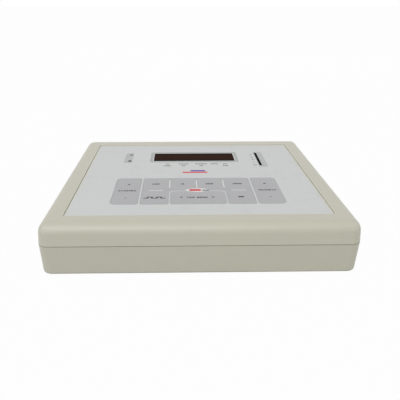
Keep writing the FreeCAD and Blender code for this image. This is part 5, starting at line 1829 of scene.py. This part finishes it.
@dataclass
class Studio:
    """Pale floor, plain soft light and the camera.

    Attributes:
        place: Where the camera stands, in metres.
        yaw: How far it looks to the right, in degrees.
        pitch: How far it looks down, in degrees.
        roll: How far it is tilted, in degrees.
        lens: Focal length.
        shift: How far the picture is framed to the right of where it looks, as a share of its width.
        daylight: Strength of the even light from all round.
        floor_grey: Colour of the floor, as the part's underside and sides see it.
        floor_white: Share of plain white in the floor as the camera sees it.
    """

    place: Point = (-0.0184, -0.4513, 0.2299)
    yaw: float = 1.0
    pitch: float = 25.148
    roll: float = -0.037
    lens: float = 38.3
    shift: float = 0.0342
    daylight: float = 0.5
    floor_grey: Colour = (188, 188, 186)
    floor_white: float = 0.975

    def build(self) -> None:
        """Set up the whole studio."""
        self.camera()
        self.floor()
        self.sky()
        self.lamp("window_light", (-0.65, -1.4, 1.6), (2.8, 1.4), 29.8)
        self.lamp("side_light", (1.85, -0.25, 1.1), (1.6, 1.6), 4.4)
        self.lamp("room_light", (0.4, 1.7, 0.62), (2.4, 0.9), 4.5, glare=False)
        bpy.context.scene.view_settings.view_transform = "Standard"

    def camera(self) -> None:
        """Place the camera."""
        yaw, pitch, roll = (math.radians(angle) for angle in (self.yaw, self.pitch, self.roll))
        ahead = Vector((math.sin(yaw) * math.cos(pitch), math.cos(yaw) * math.cos(pitch), -math.sin(pitch)))
        right = Vector((math.cos(yaw), -math.sin(yaw), 0.0))
        down = ahead.cross(right)
        tilted_right = math.cos(roll) * right + math.sin(roll) * down
        tilted_down = math.cos(roll) * down - math.sin(roll) * right
        turned = Matrix((tilted_right, -tilted_down, -ahead)).transposed().to_4x4()
        bpy.ops.object.camera_add()
        camera = bpy.context.object
        camera.matrix_world = Matrix.Translation(self.place) @ turned
        camera.data.lens = self.lens
        camera.data.shift_x = self.shift
        camera.data.sensor_width = 36.0
        camera.data.clip_start = 0.01
        bpy.context.scene.camera = camera

    def floor(self) -> None:
        """Lay a pale floor that is white to the eye and still takes the shadow."""
        deselect()
        bpy.ops.mesh.primitive_plane_add(size=40.0, location=(0.0, 0.0, -0.00005))
        floor = bpy.context.object
        floor.name = "floor"
        graph = Graph("floor_white")
        graph.surface(Base_Color=linear(self.floor_grey), Roughness=0.9)
        white = graph.add("ShaderNodeEmission", values={"Strength": 1.0})
        mixed = graph.add("ShaderNodeMixShader", values={0: self.seen_rays(graph) * self.floor_white,
                                                         1: graph.shader.outputs[0], 2: white.outputs[0]})
        graph.plug(graph.output.inputs["Surface"], mixed.outputs[0])
        floor.data.materials.append(graph.material)

    @staticmethod
    def seen_rays(nodes: Nodes) -> Term:
        """Tell which rays show the surroundings.

        Args:
            nodes: The node tree that asks.

        Returns:
            1 for rays that are seen, reflected or go through glass, and 0 for the rest.
        """
        path = nodes.add("ShaderNodeLightPath").outputs
        seen, reflected, through = (Term(nodes, path[f"Is {kind} Ray"])
                                    for kind in ("Camera", "Glossy", "Transmission"))
        return seen.at_least(reflected).at_least(through)

    def sky(self) -> None:
        """Light the room evenly from all round, and show it white."""
        world = bpy.data.worlds.new("room")
        bpy.context.scene.world = world
        world.use_nodes = True
        nodes = Nodes(world.node_tree)
        background = nodes.tree.nodes["Background"].inputs
        strength = nodes.add("ShaderNodeMix", {"data_type": "FLOAT"},
                             {0: self.seen_rays(nodes), 2: self.daylight, 3: 1.0})
        nodes.plug(background["Color"], (1.0, 1.0, 1.0, 1.0))
        nodes.plug(background["Strength"], strength.outputs[0])

    @staticmethod
    def lamp(name: str, place: Point, size: Pair, power: float, glare: bool = True) -> None:
        """Hang a soft lamp that faces the part.

        Args:
            name: Its name.
            place: Where it hangs, in metres.
            size: Its width and height.
            power: Its power in watts.
            glare: Whether glossy surfaces reflect it.
        """
        bpy.ops.object.light_add(type="AREA", location=place)
        lamp = bpy.context.object
        lamp.name = name
        lamp.data.shape = "RECTANGLE"
        lamp.data.size, lamp.data.size_y = size
        lamp.data.energy = power
        lamp.visible_glossy = glare
        lamp.rotation_mode = "QUATERNION"
        lamp.rotation_quaternion = (-Vector(place)).to_track_quat("-Z", "Y")


# ---------------------------------------------------------------- putting it together

def dress_nodes(finishes: dict[str, bpy.types.Material]) -> None:
    """Give every node of the frame its finish.

    Args:
        finishes: The finish of each node, by the start of the node's name; the longest match counts.
    """
    for name, node in frame["nodes"].items():
        matches = [start for start in finishes if name.startswith(start)]
        if not matches:
            raise RuntimeError(f"no finish for {name}")
        material = finishes[max(matches, key=len)]
        node.data.materials.clear()
        node.data.materials.append(material)
        LOG.info("node %s wears %s", name, material.name)


def main() -> None:
    """Build the dress of the part and its studio."""
    logging.basicConfig(level=logging.INFO, format="%(name)s: %(message)s")
    deselect()
    window_low, window_high = (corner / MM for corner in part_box("display_window"))
    middle = (window_low.x + window_high.x) / 2
    panel_low, panel_high = (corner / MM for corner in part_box("front_panel"))
    upper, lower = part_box("upper_case"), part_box("lower_case")

    case = CasePlastic("case_plastic", (191, 189, 174), upper[0].z / MM, lower[0].z / MM, upper[1].z / MM,
                       (panel_low.x, panel_high.x, panel_low.y, panel_high.y)).make()
    film = KeypadFilm("panel_film", middle).make()
    printer = Printer({colour: Ink(f"{colour.name.lower()}_ink", colour.value).make()
                       for colour in InkColour})
    window = SmokedDisplay("smoked_window", (middle, (window_low.y + window_high.y) / 2),
                           (97.0, 21.7)).make()
    black = Plastic("black_plastic", (38, 38, 40), 0.45, 0.4, 0.015, 0.1).make()
    rubber = Rubber("foot_rubber", (34, 34, 34)).make()
    zinc = Metal("zinc_steel", (188, 190, 190), 0.35).make()
    nickel = Metal("nickel", (205, 200, 190), 0.22).make()
    switch_black = Plastic("switch_black", (30, 30, 32), 0.3, 0.3, 0.008, 0.1).make()
    lens = Lens("grey_lens", (92, 92, 94), 0.3, 1.3).make()
    board = BoardLacquer("board_lacquer", (28, 92, 52)).make()
    resin = Plastic("chip_resin", (36, 36, 38), 0.6, 0.2, 0.01, 0.1).make()
    finishes = {
        "": black, "upper_case": case, "lower_case": case, "rubber_feet": rubber, "case_screws": zinc,
        "front_panel": film, "key_": film, "plunger_": Plastic("plunger_white", (222, 220, 212)).make(),
        "display_window": window, "meter_window": Lens("smoked_slot", (12, 13, 12), 0.3, 1.035).make(),
        "key_board": board, "lcd_board": board, "main_board": board, "board_screws": zinc,
        "lcd_frame": Plastic("black_metal", (40, 40, 42), 0.35, 0.3, 0.01, 0.08, 0.3).make(),
        "lcd_glass": Lens("cell_glass", (95, 70, 55), 0.08).make(),
        "lcd_backlight": Plastic("light_block", (225, 216, 182), 0.5).make(),
        "meter_lights": Lens("meter_lens", (120, 38, 30), 0.3).make(),
        "indicator_light": lens, "power_rocker": switch_black, "power_switch_frame": switch_black,
        "microphone": Plastic("capsule_felt", (34, 34, 36), 0.9, 0.2, 0.03, 0.15).make(),
        "processor_chip": resin, "audio_chips": resin, "voltage_regulator": resin,
        "output_relays": Plastic("relay_plastic", (232, 228, 212), 0.45).make(),
        "capacitors": Plastic("capacitor_sleeve", (36, 44, 78), 0.3, 0.3, 0.01, 0.08, 0.4).make(),
        "ribbon_cable": Plastic("ribbon_grey", (168, 168, 168), 0.45).make(), "jack_nuts": nickel,
        "switch_leads": Plastic("lead_red", (150, 26, 22), 0.4).make(),
    }
    dress_nodes(finishes)

    Keypad(middle).build(film, printer)
    PanelLamp().build(lens, zinc)
    PhoneSockets().build(black, nickel, printer)
    first_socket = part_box("left_phone_jack")
    PowerInlet().build(black, nickel, printer, (first_socket[0].z + first_socket[1].z) / 2)
    PowerSwitch().build(switch_black, nickel, printer)
    RubberFeet().build(rubber)
    CaseScrews().build(zinc)
    Studio().build()


if __name__ == "__main__":
    main()
